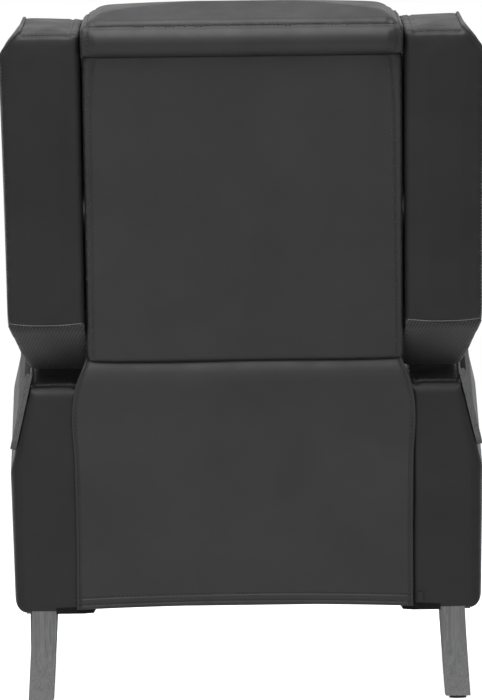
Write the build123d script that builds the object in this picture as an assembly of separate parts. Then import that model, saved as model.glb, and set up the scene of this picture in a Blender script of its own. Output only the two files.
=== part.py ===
from build123d import *
import os
from math import cos, radians, sin, tan

os.makedirs("parts", exist_ok=True)

# All sizes in mm and degrees. X is across the chair, +Y is the rear, +Z is up.
FAR = 2400.0  # larger than the whole chair

# Shared fits
RUN_FIT = 0.05  # radial gap of a pin that turns in a hole
SIDE_GAP = 0.3  # gap beside a moving face
GUIDE_GAP = 0.6  # radial gap of a pin that runs in a slot

# Back, drawn in its own plane: s runs up the back, n runs out to the rear
BACK_TILT = 12.0
BACK_Y, BACK_Z = 300.0, 508.0
BACK_HALF = 236.0
PANEL_TOP = 465.0
PANEL_THICK = 22.0
FRAME_DEEP = 40.0
STILE_WIDE = 36.0
STILE_LOW, STILE_TOP = -60.0, 463.0
RAIL_TALL = 50.0
STRAP_THICK = 2.0
STRAP_WIDE = 60.0
CUSHION_HALF = 232.0
CUSHION_DEEP = 98.0
CUSHION_CROWN = 12.0
LUMBAR_LOW, LUMBAR_TOP = -100.0, 214.0
UPPER_LOW, UPPER_TOP = 217.0, 463.0
PANEL_CROWN = 6.0
RIDGE = 1.2  # lengthwise crown and rounding of a cushion, over the crosswise ones
ROLL_SIDE = [(0, 466), (5, 488), (-6, 507), (-40, 527), (-95, 531), (-156, 512), (-172, 466)]
ROLL_SHOULDER = (205.0, 505.0, 521.0)

# Wings
WING_IN = 241.0
WING_OUTLINE = [
    (WING_IN, -35), (324, -35), (339, 5), (354, 58), (358, 465), (330, 503), (WING_IN, 499),
]
WING_SIDE = [
    (0, 54), (-95, -28), (-215, -30), (-235, 200), (-215, 420), (-190, 505), (0, 499),
]
WING_FRAME_SIDE = [
    (-22, 72), (-92, 12), (-198, 12), (-215, 200), (-195, 420), (-172, 470), (-22, 470),
]
WING_ROUND = 14.0
WING_FRAME_THICK = 16.0
TWILL_THICK = 3.0
SPACER_R = 9.0
SPACERS = (120.0, 280.0, 430.0)

# Arms
ARM_IN = 245.0
ARM_REAR, ARM_FRONT = 290.0, -415.0
ARM_LOW = 143.0
ARM_TOP_AT, ARM_TOP_Z, ARM_SLOPE = 200.0, 496.0, 0.2
ARM_OUT, ARM_OUT_Z, ARM_LEAN, ARM_FLARE = 354.5, 380.0, 0.026, 2.6
TRIM_OUT, TRIM_LEAN, TRIM_FLARE = 347.0, 0.23, 5.2
ARM_ROUND = 9.0
ARM_FRAME_IN, ARM_FRAME_THICK = 262.0, 22.0
ARM_FRAME_OUT = ARM_FRAME_IN + ARM_FRAME_THICK
ARM_FRAME_INSET = 16.0
TRIM_THICK = 8.0
TRIM_TIP_R, TRIM_BEND_R = 15.0, 24.0
TRIM_EDGE = [
    (0, 117), (-75, 111), (-705, 239), (-705, 193), (-100, 70), (-42, 50), (-36, 0), (-4, 0),
]

# Legs, runners and base frame
FLOOR_GLIDE = 4.0
GLIDE_R = 13.0
RUNNER_LOW = 133.0
RUNNER_IN, RUNNER_OUT_REAR, RUNNER_OUT_FRONT = 233.0, 334.0, 366.0
RUNNER_FRONT = -397.0
RUNNER_BEVEL = 15.0
TONGUE_Y = 274.0  # front face of the tongue on top of a rear leg
REAR_LEG = [(307.5, 260.0, 37.0, 56.0), (310.0, 268.0, 36.0, 42.0), (313.5, 288.0, 37.0, 33.0)]
FRONT_LEG = [(345.0, -368.0, 37.0, 50.0), (346.5, -373.0, 35.0, 40.0), (348.0, -382.0, 34.0, 30.0)]
BOARD_HALF = ARM_IN
REAR_RAIL_Y, REAR_RAIL_TOP = 268.0, 250.0
FRONT_BOARD_Y0, FRONT_BOARD_Y1, FRONT_BOARD_THICK = -262.0, -200.0, 22.0
BASE_RAIL_IN, BASE_RAIL_OUT = 208.0, 230.0
SLIDE_TILT = 5.0
SLIDE_Z = 250.0
CHANNEL_THICK, CHANNEL_LIP, CHANNEL_WALL, CHANNEL_END = 3.0, 11.0, 2.0, 200.0
BLOCKS = ((-170.0, -110.0), (30.0, 90.0))

# Seat
SEAT_RAIL_IN, SEAT_RAIL_OUT = 207.0, 229.0
SEAT_RAIL_Y0, SEAT_RAIL_Y1 = -330.0, 150.0
SEAT_RAIL_LOW, SEAT_RAIL_TOP = 300.0, 335.0
SEAT_BOARD_THICK = 12.0
SEAT_BOARDS = ((-395.0, -300.0), (100.0, 150.0))
SEAT_STRAPS = (-176.0, -88.0, 0.0, 88.0, 176.0)
SEAT_Y0, SEAT_Y1 = -420.0, 100.0
SEAT_HALF = 238.0
SEAT_THICK, SEAT_CROWN = 122.0, 16.0

# Tilt pivot and drive pin
PIVOT_Y, PIVOT_Z = 215.0, 445.0
RECLINE = 26.0
BRACKET_THICK = 4.0
STUD_R, BUSH_R, STUD_ROOM = 6.0, 11.0, 9.0
DRIVE_PIN_R = 5.0
DRIVE_ARM_THICK = 4.0
DRIVE_Z = SEAT_RAIL_TOP - 2.0  # level with the seat rails
DRIVE_Y = PIVOT_Y + (PIVOT_Z - DRIVE_Z) * tan(radians(RECLINE / 2))
DRIVE_SINK = 6.0  # how far the pin drops in its slot
DRIVE_ARM_LONG = 90.0  # length bolted to the seat rail
BRACKET_TOP, BRACKET_EYE_R = 80.0, 18.0

# Footrest scissor linkage
HALF_BAR = 68.0
FOLDED, OPENED = 78.0, 28.0
AXIS_REST, AXIS_OPEN = -5.0, 5.0
A_Y, A_Z = -300.7, 322.0
BAR_WIDE, BAR_THICK = 18.0, 3.5
STAY_WIDE = 14.0
PLATE_IN, PLATE_OUT = 203.0, 207.0
B_IN = 196.5
A_IN = 192.5
PIN_R, PIN_HEAD_R, PIN_HEAD = 4.0, 7.5, 1.8
STAY_HOLE_R, STAY_EYE_R, STAY_WASHER_R = 9.6, 13.0, 13.5
PLATE_LONG = 190.0
STAY_PIVOT = (-1.4, -57.0)
TUBE_R = 8.0
FOOT_BOARD_Y, FOOT_BOARD_THICK = -373.0, 12.0
FOOT_BOARD_HALF, FOOT_LOW, FOOT_TOP = 225.0, 152.0, 330.0
FOOT_PAD_HALF, FOOT_PAD_THICK, FOOT_PAD_CROWN = 234.0, 32.0, 8.0
FLANGE_WIDE, FLANGE_THICK = 24.0, 3.0

# Rear apron and its hook
APRON_THICK = 3.0
APRON_EDGE = [(236, 506), (253, 465), (256, 425), (251, 370), (249, 250), (250, 139)]
APRON_ARCH = 144.0
HOOK = (-263.0, -255.0, 6.0, 146.0, 160.0)


def block(x0, x1, y0, y1, z0, z1):
    """Box between three pairs of planes."""
    centre = Pos((x0 + x1) / 2, (y0 + y1) / 2, (z0 + z1) / 2)
    return centre * Box(abs(x1 - x0), abs(y1 - y0), abs(z1 - z0))


def slab(points, x0, x1, rounded=0.0):
    """Side outline in (y, z), pushed across from x0 to x1."""
    face = make_face(Polyline([(x, y, 0) for x, y in points], close=True))
    if rounded:
        face = fillet(face.vertices(), rounded)
    side = Plane(origin=(x0, 0, 0), x_dir=(0, 1, 0), z_dir=(1, 0, 0))
    return extrude(side * face, amount=x1 - x0, dir=(1, 0, 0))


def disc(y, z, r, x0, x1):
    """Round bar across the chair."""
    return Pos((x0 + x1) / 2, y, z) * Rot(0, 90, 0) * Cylinder(r, abs(x1 - x0))


def both(shape):
    """The shape and its mirror image on the other side."""
    return shape + mirror(shape, about=Plane.YZ)


def other(shape):
    """The mirror image on the other side."""
    return mirror(shape, about=Plane.YZ)


def back_point(n, s):
    """A point of the back's own plane as (y, z)."""
    t = radians(BACK_TILT)
    return BACK_Y + s * sin(t) + n * cos(t), BACK_Z + s * cos(t) - n * sin(t)


def back_slab(points, x0, x1, rounded=0.0):
    """Side outline given in the back's own (n, s)."""
    return slab([back_point(n, s) for n, s in points], x0, x1, rounded)


def back_box(x0, x1, n0, n1, s0, s1):
    """Box lying square in the back."""
    return back_slab([(n0, s0), (n1, s0), (n1, s1), (n0, s1)], x0, x1)


def back_plane(n, s, rearward):
    """Plane in the back, facing the rear or the sitter, with Y up the back."""
    y, z = back_point(n, s)
    t = radians(BACK_TILT)
    sign = 1 if rearward else -1
    return Plane(
        origin=(0, y, z), x_dir=(-sign, 0, 0), z_dir=(0, sign * cos(t), -sign * sin(t))
    )


def beyond(point, normal):
    """Everything on the far side of a plane, as a large box."""
    return Plane(origin=point, z_dir=normal) * Box(
        FAR, FAR, FAR / 2, align=(Align.CENTER, Align.CENTER, Align.MIN)
    )


def soft_face(wide, tall, crown, bulge, rounded):
    """Stuffed outline: flat underside, bulging sides, crowned top."""
    half = wide / 2 - bulge
    edges = [
        Line((-half, 0), (half, 0)),
        ThreePointArc((half, 0), (half + bulge, tall / 2), (half, tall)),
        ThreePointArc((half, tall), (0, tall + crown), (-half, tall)),
        ThreePointArc((-half, tall), (-half - bulge, tall / 2), (-half, 0)),
    ]
    face = make_face(edges)
    return fillet(face.vertices(), rounded)


def pillow(wide, long, thick, crown, bulge=5.0, rounded=12.0, corner=28.0):
    """Cushion crowned both ways, standing on the XY plane with its length along Y."""
    across = extrude(Plane.XZ * soft_face(wide, thick, crown, bulge, rounded), long, both=True)
    ridge = crown * RIDGE
    along = extrude(
        Plane.YZ * soft_face(long, thick, ridge, bulge, RIDGE * rounded), wide, both=True)
    plan = extrude(RectangleRounded(wide, long, corner), thick + 2 * ridge)
    return across & along & plan


def bar(points, x0, x1, wide, holes):
    """Flat bar with round ends through two points, with (y, z, radius) holes."""
    (y0, z0), (y1, z1) = points
    dy, dz = y1 - y0, z1 - z0
    length = (dy * dy + dz * dz) ** 0.5
    ny, nz = -dz / length * wide / 2, dy / length * wide / 2
    strap = slab([(y0 + ny, z0 + nz), (y1 + ny, z1 + nz), (y1 - ny, z1 - nz), (y0 - ny, z0 - nz)],
                 x0, x1)
    for y, z in points:
        strap += disc(y, z, wide / 2, x0, x1)
    for y, z, r in holes:
        strap -= disc(y, z, r, x0, x1)
    return strap


def hexagon(y, z, r, x0, x1):
    """Six-sided head or collar across the chair."""
    side = Plane(origin=(x0, y, z), x_dir=(0, 1, 0), z_dir=(1, 0, 0))
    return extrude(side * RegularPolygon(r, 6), x1 - x0)


def sabre_leg(rungs):
    """Leg with curved front and rear edges and flat splayed sides, from (x, y, wide, deep) rungs."""
    heights = (RUNNER_LOW, (RUNNER_LOW + FLOOR_GLIDE) / 2, FLOOR_GLIDE)
    front = [(y - d / 2, z) for (_, y, _, d), z in zip(rungs, heights)]
    rear = [(y + d / 2, z) for (_, y, _, d), z in zip(rungs, heights)]
    face = make_face([ThreePointArc(*front), Line(front[2], rear[2]), ThreePointArc(*rear),
                      Line(rear[0], front[0])])
    low = min(x - w / 2 for x, _, w, _ in rungs)
    high = max(x + w / 2 for x, _, w, _ in rungs)
    side = Plane(origin=(low, 0, 0), x_dir=(0, 1, 0), z_dir=(1, 0, 0))
    shape = extrude(side * face, high - low)
    for sign in (-1, 1):
        top, foot = (rung[0] + sign * rung[2] / 2 for rung in (rungs[0], rungs[2]))
        lean = (top - foot) / (heights[0] - heights[2])
        shape -= beyond((foot, 0, heights[2]), (sign, 0, -sign * lean))
    return shape


def rivet(y, z, washer=PIN_HEAD_R):
    """Pivot bolt fixed in the inner bar, with the outer bar turning on it."""
    end = B_IN + BAR_THICK + SIDE_GAP
    shape = disc(y, z, PIN_R, A_IN + BAR_THICK, end)
    shape += hexagon(y, z, PIN_HEAD_R, A_IN - PIN_HEAD, A_IN)
    return shape + hexagon(y, z, washer, end, end + PIN_HEAD)


def stud_on_plate(y, z, layer):
    """Stud standing on the inner face of a plate, with a bar of the given layer turning on it."""
    collar, tip = layer + BAR_THICK + SIDE_GAP, layer - SIDE_GAP
    shape = hexagon(y, z, PIN_HEAD_R, collar, PLATE_IN) + disc(y, z, PIN_R, tip, collar)
    return shape + hexagon(y, z, PIN_HEAD_R, tip - PIN_HEAD, tip)


def scissor(share):
    """Pivot points of the linkage at a share of its opening, from the fixed pivot A."""
    phi = radians(FOLDED + (OPENED - FOLDED) * share)
    gamma = radians(AXIS_REST + (AXIS_OPEN - AXIS_REST) * share)
    out = 2 * HALF_BAR * cos(phi)
    drop = 2 * HALF_BAR * sin(phi)

    def point(reach, fall):
        y = A_Y - reach * out * cos(gamma) - fall * drop * sin(gamma)
        z = A_Z + reach * out * sin(gamma) - fall * drop * cos(gamma)
        return y, z

    return {
        "A": point(0, 0), "G": point(0, 1), "C1": point(0.5, 0.5), "E1U": point(1, 0),
        "E1L": point(1, 1), "C2": point(1.5, 0.5), "E2U": point(2, 0), "E2L": point(2, 1),
    }


def arm_top(y):
    """Height of the arm's top line."""
    return ARM_TOP_Z + ARM_SLOPE * (ARM_TOP_AT - y)


def slide_top(y):
    """Height of the tilted base rail."""
    return SLIDE_Z - tan(radians(SLIDE_TILT)) * y


def tilted_strip(y0, y1, low, high, x0, x1):
    """Strip lying along the tilted base rail."""
    return slab([(y0, slide_top(y0) + low), (y1, slide_top(y1) + low),
                 (y1, slide_top(y1) + high), (y0, slide_top(y0) + high)], x0, x1)


parts = {}

# Legs, glides and runners
for name, leg in (("rear_leg", REAR_LEG), ("front_leg", FRONT_LEG)):
    parts[name + "_left"] = sabre_leg(leg)
    parts[name + "_right"] = other(parts[name + "_left"])

glides = [Pos(leg[2][0], leg[2][1]) * extrude(RegularPolygon(GLIDE_R, 16), FLOOR_GLIDE)
          for leg in (REAR_LEG, FRONT_LEG)]
parts["leg_glides"] = both(glides[0] + glides[1])

runner_plan = make_face(Polyline([
    (RUNNER_IN, RUNNER_FRONT), (RUNNER_OUT_FRONT, RUNNER_FRONT), (RUNNER_OUT_REAR, ARM_REAR),
    (RUNNER_IN + RUNNER_BEVEL, ARM_REAR), (RUNNER_IN, ARM_REAR - RUNNER_BEVEL)], close=True))
tongue_x, tongue_mid, tongue_wide, tongue_deep = REAR_LEG[0]
tongue_in, tongue_out = tongue_x - tongue_wide / 2, tongue_x + tongue_wide / 2
runner = Pos(0, 0, RUNNER_LOW) * extrude(runner_plan, ARM_LOW - RUNNER_LOW)
runner -= block(tongue_in, RUNNER_OUT_FRONT, TONGUE_Y, ARM_REAR, RUNNER_LOW, ARM_LOW)
parts["base_runner_left"] = runner
parts["base_runner_right"] = other(runner)
parts["rear_leg_left"] += block(
    tongue_in, tongue_out, TONGUE_Y, tongue_mid + tongue_deep / 2, RUNNER_LOW, ARM_LOW)
parts["rear_leg_right"] = other(parts["rear_leg_left"])

# Base frame and seat slides
parts["base_rear_rail"] = block(
    -BOARD_HALF, BOARD_HALF, REAR_RAIL_Y, ARM_REAR, ARM_LOW, REAR_RAIL_TOP)
board_top = ARM_LOW + FRONT_BOARD_THICK
parts["base_front_board"] = block(
    -BOARD_HALF, BOARD_HALF, FRONT_BOARD_Y0, FRONT_BOARD_Y1, ARM_LOW, board_top)
parts["base_side_rails"] = both(slab(
    [(FRONT_BOARD_Y0, board_top), (REAR_RAIL_Y, board_top), (REAR_RAIL_Y, slide_top(REAR_RAIL_Y)),
     (FRONT_BOARD_Y0, slide_top(FRONT_BOARD_Y0))], BASE_RAIL_IN, BASE_RAIL_OUT))
channel = tilted_strip(FRONT_BOARD_Y0, CHANNEL_END, 0, CHANNEL_LIP, BASE_RAIL_IN, BASE_RAIL_OUT)
channel -= tilted_strip(FRONT_BOARD_Y0, CHANNEL_END, CHANNEL_THICK, CHANNEL_LIP,
                        BASE_RAIL_IN + CHANNEL_WALL, BASE_RAIL_OUT - CHANNEL_WALL)
parts["seat_slide_channels"] = both(channel)

# Arms
arm_front_top, arm_rear_top = arm_top(ARM_FRONT), arm_top(ARM_REAR)
arm = slab([(ARM_REAR, ARM_LOW), (ARM_REAR, arm_rear_top), (ARM_FRONT, arm_front_top),
            (ARM_FRONT, ARM_LOW)], ARM_IN, ARM_IN + ARM_OUT)
arm -= beyond((ARM_OUT, ARM_REAR, ARM_OUT_Z), (1, tan(radians(ARM_FLARE)), -ARM_LEAN))
trim_normal = (1, tan(radians(TRIM_FLARE)), TRIM_LEAN)
arm -= beyond((TRIM_OUT, ARM_REAR, ARM_OUT_Z), trim_normal)
arm = fillet([e for e in arm.edges() if e.center().Z > ARM_LOW + 1], ARM_ROUND)
frame_rear, frame_front = ARM_REAR - ARM_FRAME_INSET, ARM_FRONT + ARM_FRAME_INSET
arm_board = slab(
    [(frame_rear, ARM_LOW), (frame_rear, arm_top(frame_rear) - ARM_FRAME_INSET),
     (frame_front, arm_top(frame_front) - ARM_FRAME_INSET), (frame_front, ARM_LOW)],
    ARM_FRAME_IN, ARM_FRAME_OUT)
arm -= arm_board
arm -= disc(PIVOT_Y, PIVOT_Z, STUD_ROOM, ARM_IN, ARM_FRAME_IN)
parts["arm_pad_left"] = arm
parts["arm_pad_right"] = other(arm)
parts["arm_frames"] = both(
    arm_board - hexagon(PIVOT_Y, PIVOT_Z, BUSH_R, ARM_FRAME_IN, ARM_FRAME_OUT))
parts["pivot_bushes"] = both(
    hexagon(PIVOT_Y, PIVOT_Z, BUSH_R, ARM_FRAME_IN, ARM_FRAME_OUT)
    - disc(PIVOT_Y, PIVOT_Z, STUD_R + RUN_FIT, ARM_FRAME_IN, ARM_FRAME_OUT))

trim_face = make_face(Polyline(TRIM_EDGE, close=True))
corners = trim_face.vertices().sort_by(Axis.Y)
trim_face = fillet(corners[:2], TRIM_TIP_R)
bend = trim_face.vertices().sort_by_distance((TRIM_EDGE[5][0], TRIM_EDGE[5][1], 0))[0]
trim_face = fillet(bend, TRIM_BEND_R)
trim_plane = Plane(origin=(TRIM_OUT, ARM_REAR, ARM_OUT_Z),
                   x_dir=(-tan(radians(TRIM_FLARE)), 1, 0), z_dir=trim_normal)
parts["arm_trim_left"] = extrude(trim_plane * trim_face, TRIM_THICK)
parts["arm_trim_right"] = other(parts["arm_trim_left"])

# Rear apron and hook
apron_face = make_face([
    Polyline([(-x, z) for x, z in reversed(APRON_EDGE)] + APRON_EDGE),
    ThreePointArc(APRON_EDGE[-1], (0, APRON_ARCH), (-APRON_EDGE[-1][0], APRON_EDGE[-1][1])),
])
apron_plane = Plane(origin=(0, ARM_REAR, 0), x_dir=(-1, 0, 0), z_dir=(0, 1, 0))
parts["rear_apron"] = extrude(apron_plane * apron_face, APRON_THICK)
hook_x0, hook_x1, hook_deep, hook_low, hook_top = HOOK
parts["apron_hook"] = block(hook_x0, hook_x1, ARM_REAR, ARM_REAR + hook_deep, hook_low, hook_top)

# Seat frame and cushion
parts["seat_side_rails"] = both(block(
    SEAT_RAIL_IN, SEAT_RAIL_OUT, SEAT_RAIL_Y0, SEAT_RAIL_Y1, SEAT_RAIL_LOW, SEAT_RAIL_TOP))
seat_board_top = SEAT_RAIL_TOP + SEAT_BOARD_THICK
for name, (y0, y1) in zip(("seat_front_board", "seat_rear_board"), SEAT_BOARDS):
    parts[name] = block(-SEAT_RAIL_OUT, SEAT_RAIL_OUT, y0, y1, SEAT_RAIL_TOP, seat_board_top)
strap_y0, strap_y1 = SEAT_BOARDS[0][0], SEAT_BOARDS[1][1]
parts["seat_webbing"] = Part() + [
    block(x - STRAP_WIDE / 2, x + STRAP_WIDE / 2, strap_y0, strap_y1,
          seat_board_top, seat_board_top + STRAP_THICK) for x in SEAT_STRAPS]
parts["seat_cushion"] = Pos(0, (SEAT_Y0 + SEAT_Y1) / 2, seat_board_top + STRAP_THICK) * pillow(
    2 * SEAT_HALF, SEAT_Y1 - SEAT_Y0, SEAT_THICK, SEAT_CROWN, 6.0, 26.0, 30.0)
blocks = Part()
for y0, y1 in BLOCKS:
    low = CHANNEL_THICK + SIDE_GAP
    blocks += slab([(y0, slide_top(y0) + low), (y1, slide_top(y1) + low),
                    (y1, SEAT_RAIL_LOW), (y0, SEAT_RAIL_LOW)],
                   BASE_RAIL_IN + CHANNEL_WALL + SIDE_GAP, BASE_RAIL_OUT - CHANNEL_WALL - SIDE_GAP)
parts["seat_slide_blocks"] = both(blocks)

arm_start = SEAT_RAIL_Y1 - DRIVE_ARM_LONG
drive_arm = slab(
    [(arm_start, SEAT_RAIL_LOW + 3), (arm_start, SEAT_RAIL_TOP - 3),
     (SEAT_RAIL_Y1, SEAT_RAIL_TOP - 3), (DRIVE_Y - 30, DRIVE_Z + 18), (DRIVE_Y + 19, DRIVE_Z + 18),
     (DRIVE_Y + 19, DRIVE_Z - 24), (DRIVE_Y - 30, SEAT_RAIL_LOW + 3)],
    SEAT_RAIL_OUT, SEAT_RAIL_OUT + DRIVE_ARM_THICK)
slot_wide = 2 * (DRIVE_PIN_R + GUIDE_GAP)
drive_arm -= bar([(DRIVE_Y, DRIVE_Z), (DRIVE_Y, DRIVE_Z - DRIVE_SINK)],
                 SEAT_RAIL_OUT, SEAT_RAIL_OUT + DRIVE_ARM_THICK, slot_wide, [])
parts["seat_drive_arms"] = both(drive_arm)

# Mechanism plates, fixed to the seat rails
rest = scissor(0)
plate = slab(
    [(A_Y - 20, A_Z + 10), (A_Y + PLATE_LONG, A_Z + 10), (A_Y + PLATE_LONG, SEAT_RAIL_LOW + 2),
     (A_Y + 50, A_Z - 40),
     (A_Y + 32, A_Z - 150), (A_Y - 6, A_Z - 150), (A_Y - 24, A_Z - 70)], PLATE_IN, PLATE_OUT)
guide = [scissor(i / 5)["G"] for i in range(6)]
for start, end in zip(guide, guide[1:]):
    plate -= bar([start, end], PLATE_IN, PLATE_OUT, 2 * (PIN_R + GUIDE_GAP), [])
parts["mechanism_plates"] = both(plate)
parts["seat_pivot_pins"] = both(stud_on_plate(A_Y, A_Z, A_IN))

# Scissor bars: inner layer a, outer layer b
turn_r = PIN_R + RUN_FIT
B_OUT = B_IN + BAR_THICK


def link(start, end, layer, turning):
    """Pair of scissor bars between two named pivots, with a hole at each pivot that turns."""
    holes = [rest[key] + (r,) for key, r in turning.items()]
    return both(bar([rest[start], rest[end]], layer, layer + BAR_THICK, BAR_WIDE, holes))


parts["footrest_a1_bars"] = link("A", "E1L", A_IN, {"A": turn_r}) + both(
    rivet(*rest["C1"]) + rivet(*rest["E1L"]))
parts["footrest_cross_tube"] = disc(*rest["C1"], TUBE_R, -A_IN + PIN_HEAD, A_IN - PIN_HEAD)
parts["footrest_b1_bars"] = link("G", "E1U", B_IN, {"C1": turn_r, "E1U": turn_r})
guide_end = PLATE_OUT + SIDE_GAP
guide_pin = disc(*rest["G"], PIN_R, B_OUT, guide_end)
guide_pin += hexagon(*rest["G"], PIN_HEAD_R, guide_end, guide_end + PIN_HEAD)
parts["footrest_guide_pins"] = both(guide_pin)
parts["footrest_a2_bars"] = link("E1U", "E2L", A_IN, {}) + both(
    rivet(*rest["E1U"]) + rivet(*rest["C2"]) + rivet(*rest["E2L"], STAY_WASHER_R))
parts["footrest_b2_bars"] = link(
    "E1L", "E2U", B_IN, {"E1L": turn_r, "C2": turn_r, "E2U": turn_r})

# Footrest
foot_y, foot_z = rest["E2U"]
stay_y, stay_z = foot_y + STAY_PIVOT[0], foot_z + STAY_PIVOT[1]
stay = bar([(stay_y, stay_z), rest["E2L"]], B_IN, B_OUT, STAY_WIDE, [])
stay += disc(*rest["E2L"], STAY_EYE_R, B_IN, B_OUT)
stay -= disc(*rest["E2L"], STAY_HOLE_R, B_IN, B_OUT) + disc(stay_y, stay_z, turn_r, B_IN, B_OUT)
parts["footrest_stays"] = both(stay)
bracket_low, bracket_top = stay_z - 16, foot_z + 13
foot_bracket = slab(
    [(FOOT_BOARD_Y, bracket_low), (stay_y + 12, bracket_low), (foot_y + 14, foot_z),
     (foot_y + 8, bracket_top), (FOOT_BOARD_Y, bracket_top)], PLATE_IN, PLATE_OUT)
foot_bracket += block(PLATE_OUT - FLANGE_WIDE, PLATE_OUT, FOOT_BOARD_Y,
                      FOOT_BOARD_Y + FLANGE_THICK, bracket_low, bracket_top)
foot_bracket += stud_on_plate(foot_y, foot_z, B_IN) + stud_on_plate(stay_y, stay_z, B_IN)
parts["footrest_brackets"] = both(foot_bracket)
pad_back = FOOT_BOARD_Y - FOOT_BOARD_THICK
parts["footrest_board"] = block(
    -FOOT_BOARD_HALF, FOOT_BOARD_HALF, pad_back, FOOT_BOARD_Y, FOOT_LOW, FOOT_TOP)
pad_plane = Plane(origin=(0, pad_back, (FOOT_LOW + FOOT_TOP) / 2), x_dir=(1, 0, 0),
                  z_dir=(0, -1, 0))
parts["footrest_pad"] = pad_plane * pillow(
    2 * FOOT_PAD_HALF, FOOT_TOP - FOOT_LOW, FOOT_PAD_THICK, FOOT_PAD_CROWN, 3.0, 11.0, 16.0)

# Back frame
frame_rear_n, frame_front_n = -PANEL_THICK, -PANEL_THICK - FRAME_DEEP
stile_in = BACK_HALF - STILE_WIDE
parts["back_stiles"] = both(back_box(
    stile_in, BACK_HALF, frame_front_n, frame_rear_n, STILE_LOW, STILE_TOP))
rail_low = {"back_top_rail": STILE_TOP - RAIL_TALL, "back_bottom_rail": STILE_LOW,
            "back_middle_rail": (STILE_LOW + STILE_TOP - RAIL_TALL) / 2}
for name, low in rail_low.items():
    parts[name] = back_box(
        -stile_in, stile_in, frame_front_n, frame_rear_n, low, low + RAIL_TALL)
pitch = (STILE_TOP - STILE_LOW - STRAP_WIDE) / 5
parts["back_webbing"] = Part() + [
    back_box(-BACK_HALF, BACK_HALF, frame_front_n - STRAP_THICK, frame_front_n,
             STILE_LOW + i * pitch, STILE_LOW + i * pitch + STRAP_WIDE) for i in range(6)]

bracket = slab(
    [back_point(frame_rear_n - 4, 0), back_point(frame_rear_n - 4, BRACKET_TOP),
     back_point(frame_front_n + 4, BRACKET_TOP), (PIVOT_Y - 14, PIVOT_Z + 10),
     (PIVOT_Y - 14, PIVOT_Z - 10), (DRIVE_Y - 12, DRIVE_Z), (DRIVE_Y + 12, DRIVE_Z)],
    BACK_HALF, BACK_HALF + BRACKET_THICK)
bracket += disc(PIVOT_Y, PIVOT_Z, BRACKET_EYE_R, BACK_HALF, BACK_HALF + BRACKET_THICK)
bracket += disc(DRIVE_Y, DRIVE_Z, BRACKET_EYE_R - 4, BACK_HALF, BACK_HALF + BRACKET_THICK)
bracket += disc(PIVOT_Y, PIVOT_Z, STUD_R, BACK_HALF + BRACKET_THICK, ARM_FRAME_OUT - SIDE_GAP)
bracket += disc(DRIVE_Y, DRIVE_Z, DRIVE_PIN_R, SEAT_RAIL_OUT - 2, BACK_HALF)
parts["back_brackets"] = both(bracket)

# Back cushions, outer panel and head roll
cushion_n = frame_front_n - STRAP_THICK
for name, low, top in (("lumbar_cushion", LUMBAR_LOW, LUMBAR_TOP),
                       ("upper_back_cushion", UPPER_LOW, UPPER_TOP)):
    parts[name] = back_plane(cushion_n, (low + top) / 2, False) * pillow(
        2 * CUSHION_HALF, top - low, CUSHION_DEEP, CUSHION_CROWN, 5.0, 24.0, 30.0)
parts["outer_back_panel"] = back_plane(frame_rear_n, PANEL_TOP / 2, True) * pillow(
    2 * BACK_HALF, PANEL_TOP, PANEL_THICK - PANEL_CROWN, PANEL_CROWN, 1.0, 5.0, 8.0)

roll = [back_point(n, s) for n, s in ROLL_SIDE]
roll_face = make_face([
    ThreePointArc(roll[0], roll[1], roll[2]), ThreePointArc(roll[2], roll[3], roll[4]),
    ThreePointArc(roll[4], roll[5], roll[6]), Line(roll[6], roll[0])])
roll_plane = Plane(origin=(-BACK_HALF, 0, 0), x_dir=(0, 1, 0), z_dir=(1, 0, 0))
roll_solid = extrude(roll_plane * roll_face, 2 * BACK_HALF)
shoulder, rise, crest = ROLL_SHOULDER
roll_front = make_face([
    Polyline([(-shoulder, crest), (-BACK_HALF, rise), (-BACK_HALF, ROLL_SIDE[0][1]),
              (BACK_HALF, ROLL_SIDE[0][1]), (BACK_HALF, rise), (shoulder, crest)]),
    ThreePointArc((shoulder, crest), (0, ROLL_SIDE[4][1] + 1), (-shoulder, crest))])
roll_cutter = extrude(back_plane(0, 0, True) * roll_front, 400, both=True)
parts["head_roll"] = roll_solid & roll_cutter

# Wings with plywood frames and twill undersides
wing = back_slab(WING_SIDE, WING_IN, WING_OUTLINE[4][0] + 5, WING_ROUND)
outline = make_face(Polyline([(-x, s) for x, s in WING_OUTLINE], close=True))
outer = [v for v in outline.vertices() if abs(v.X) > WING_IN + 1]
outline = fillet(outer, WING_ROUND - 4)
wing &= extrude(back_plane(0, 0, True) * outline, 400, both=True)
(n0, s0), (n1, s1) = WING_SIDE[:2]
run = ((n1 - n0) ** 2 + (s1 - s0) ** 2) ** 0.5
inward = (-(s0 - s1) / run, (n0 - n1) / run)
inner_y, inner_z = back_point(n0 + TWILL_THICK * inward[0], s0 + TWILL_THICK * inward[1])
base_y, base_z = back_point(n0, s0)
below = beyond((0, inner_y, inner_z), (0, base_y - inner_y, base_z - inner_z))
wing_board = back_slab(WING_FRAME_SIDE, WING_IN, WING_IN + WING_FRAME_THICK)
parts["wing_undersides"] = both(wing & below)
parts["wing_pad_left"] = wing - below - wing_board
parts["wing_pad_right"] = other(parts["wing_pad_left"])
parts["wing_frames"] = both(wing_board)
spacer_n = (frame_rear_n + frame_front_n) / 2
parts["wing_spacers"] = both(Part() + [
    hexagon(*back_point(spacer_n, s), SPACER_R, BACK_HALF, WING_IN) for s in SPACERS])

# Centre the chair over the origin and write each piece
whole = Compound(children=[Part(p.wrapped) for p in parts.values()]).bounding_box()
shift = Pos(-(whole.min.X + whole.max.X) / 2, -(whole.min.Y + whole.max.Y) / 2, -whole.min.Z)
for name, piece in parts.items():
    export_step(shift * piece, "parts/" + name + ".step")
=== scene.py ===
"""Wingback push-back recliner armchair in charcoal leather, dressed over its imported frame."""

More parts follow.
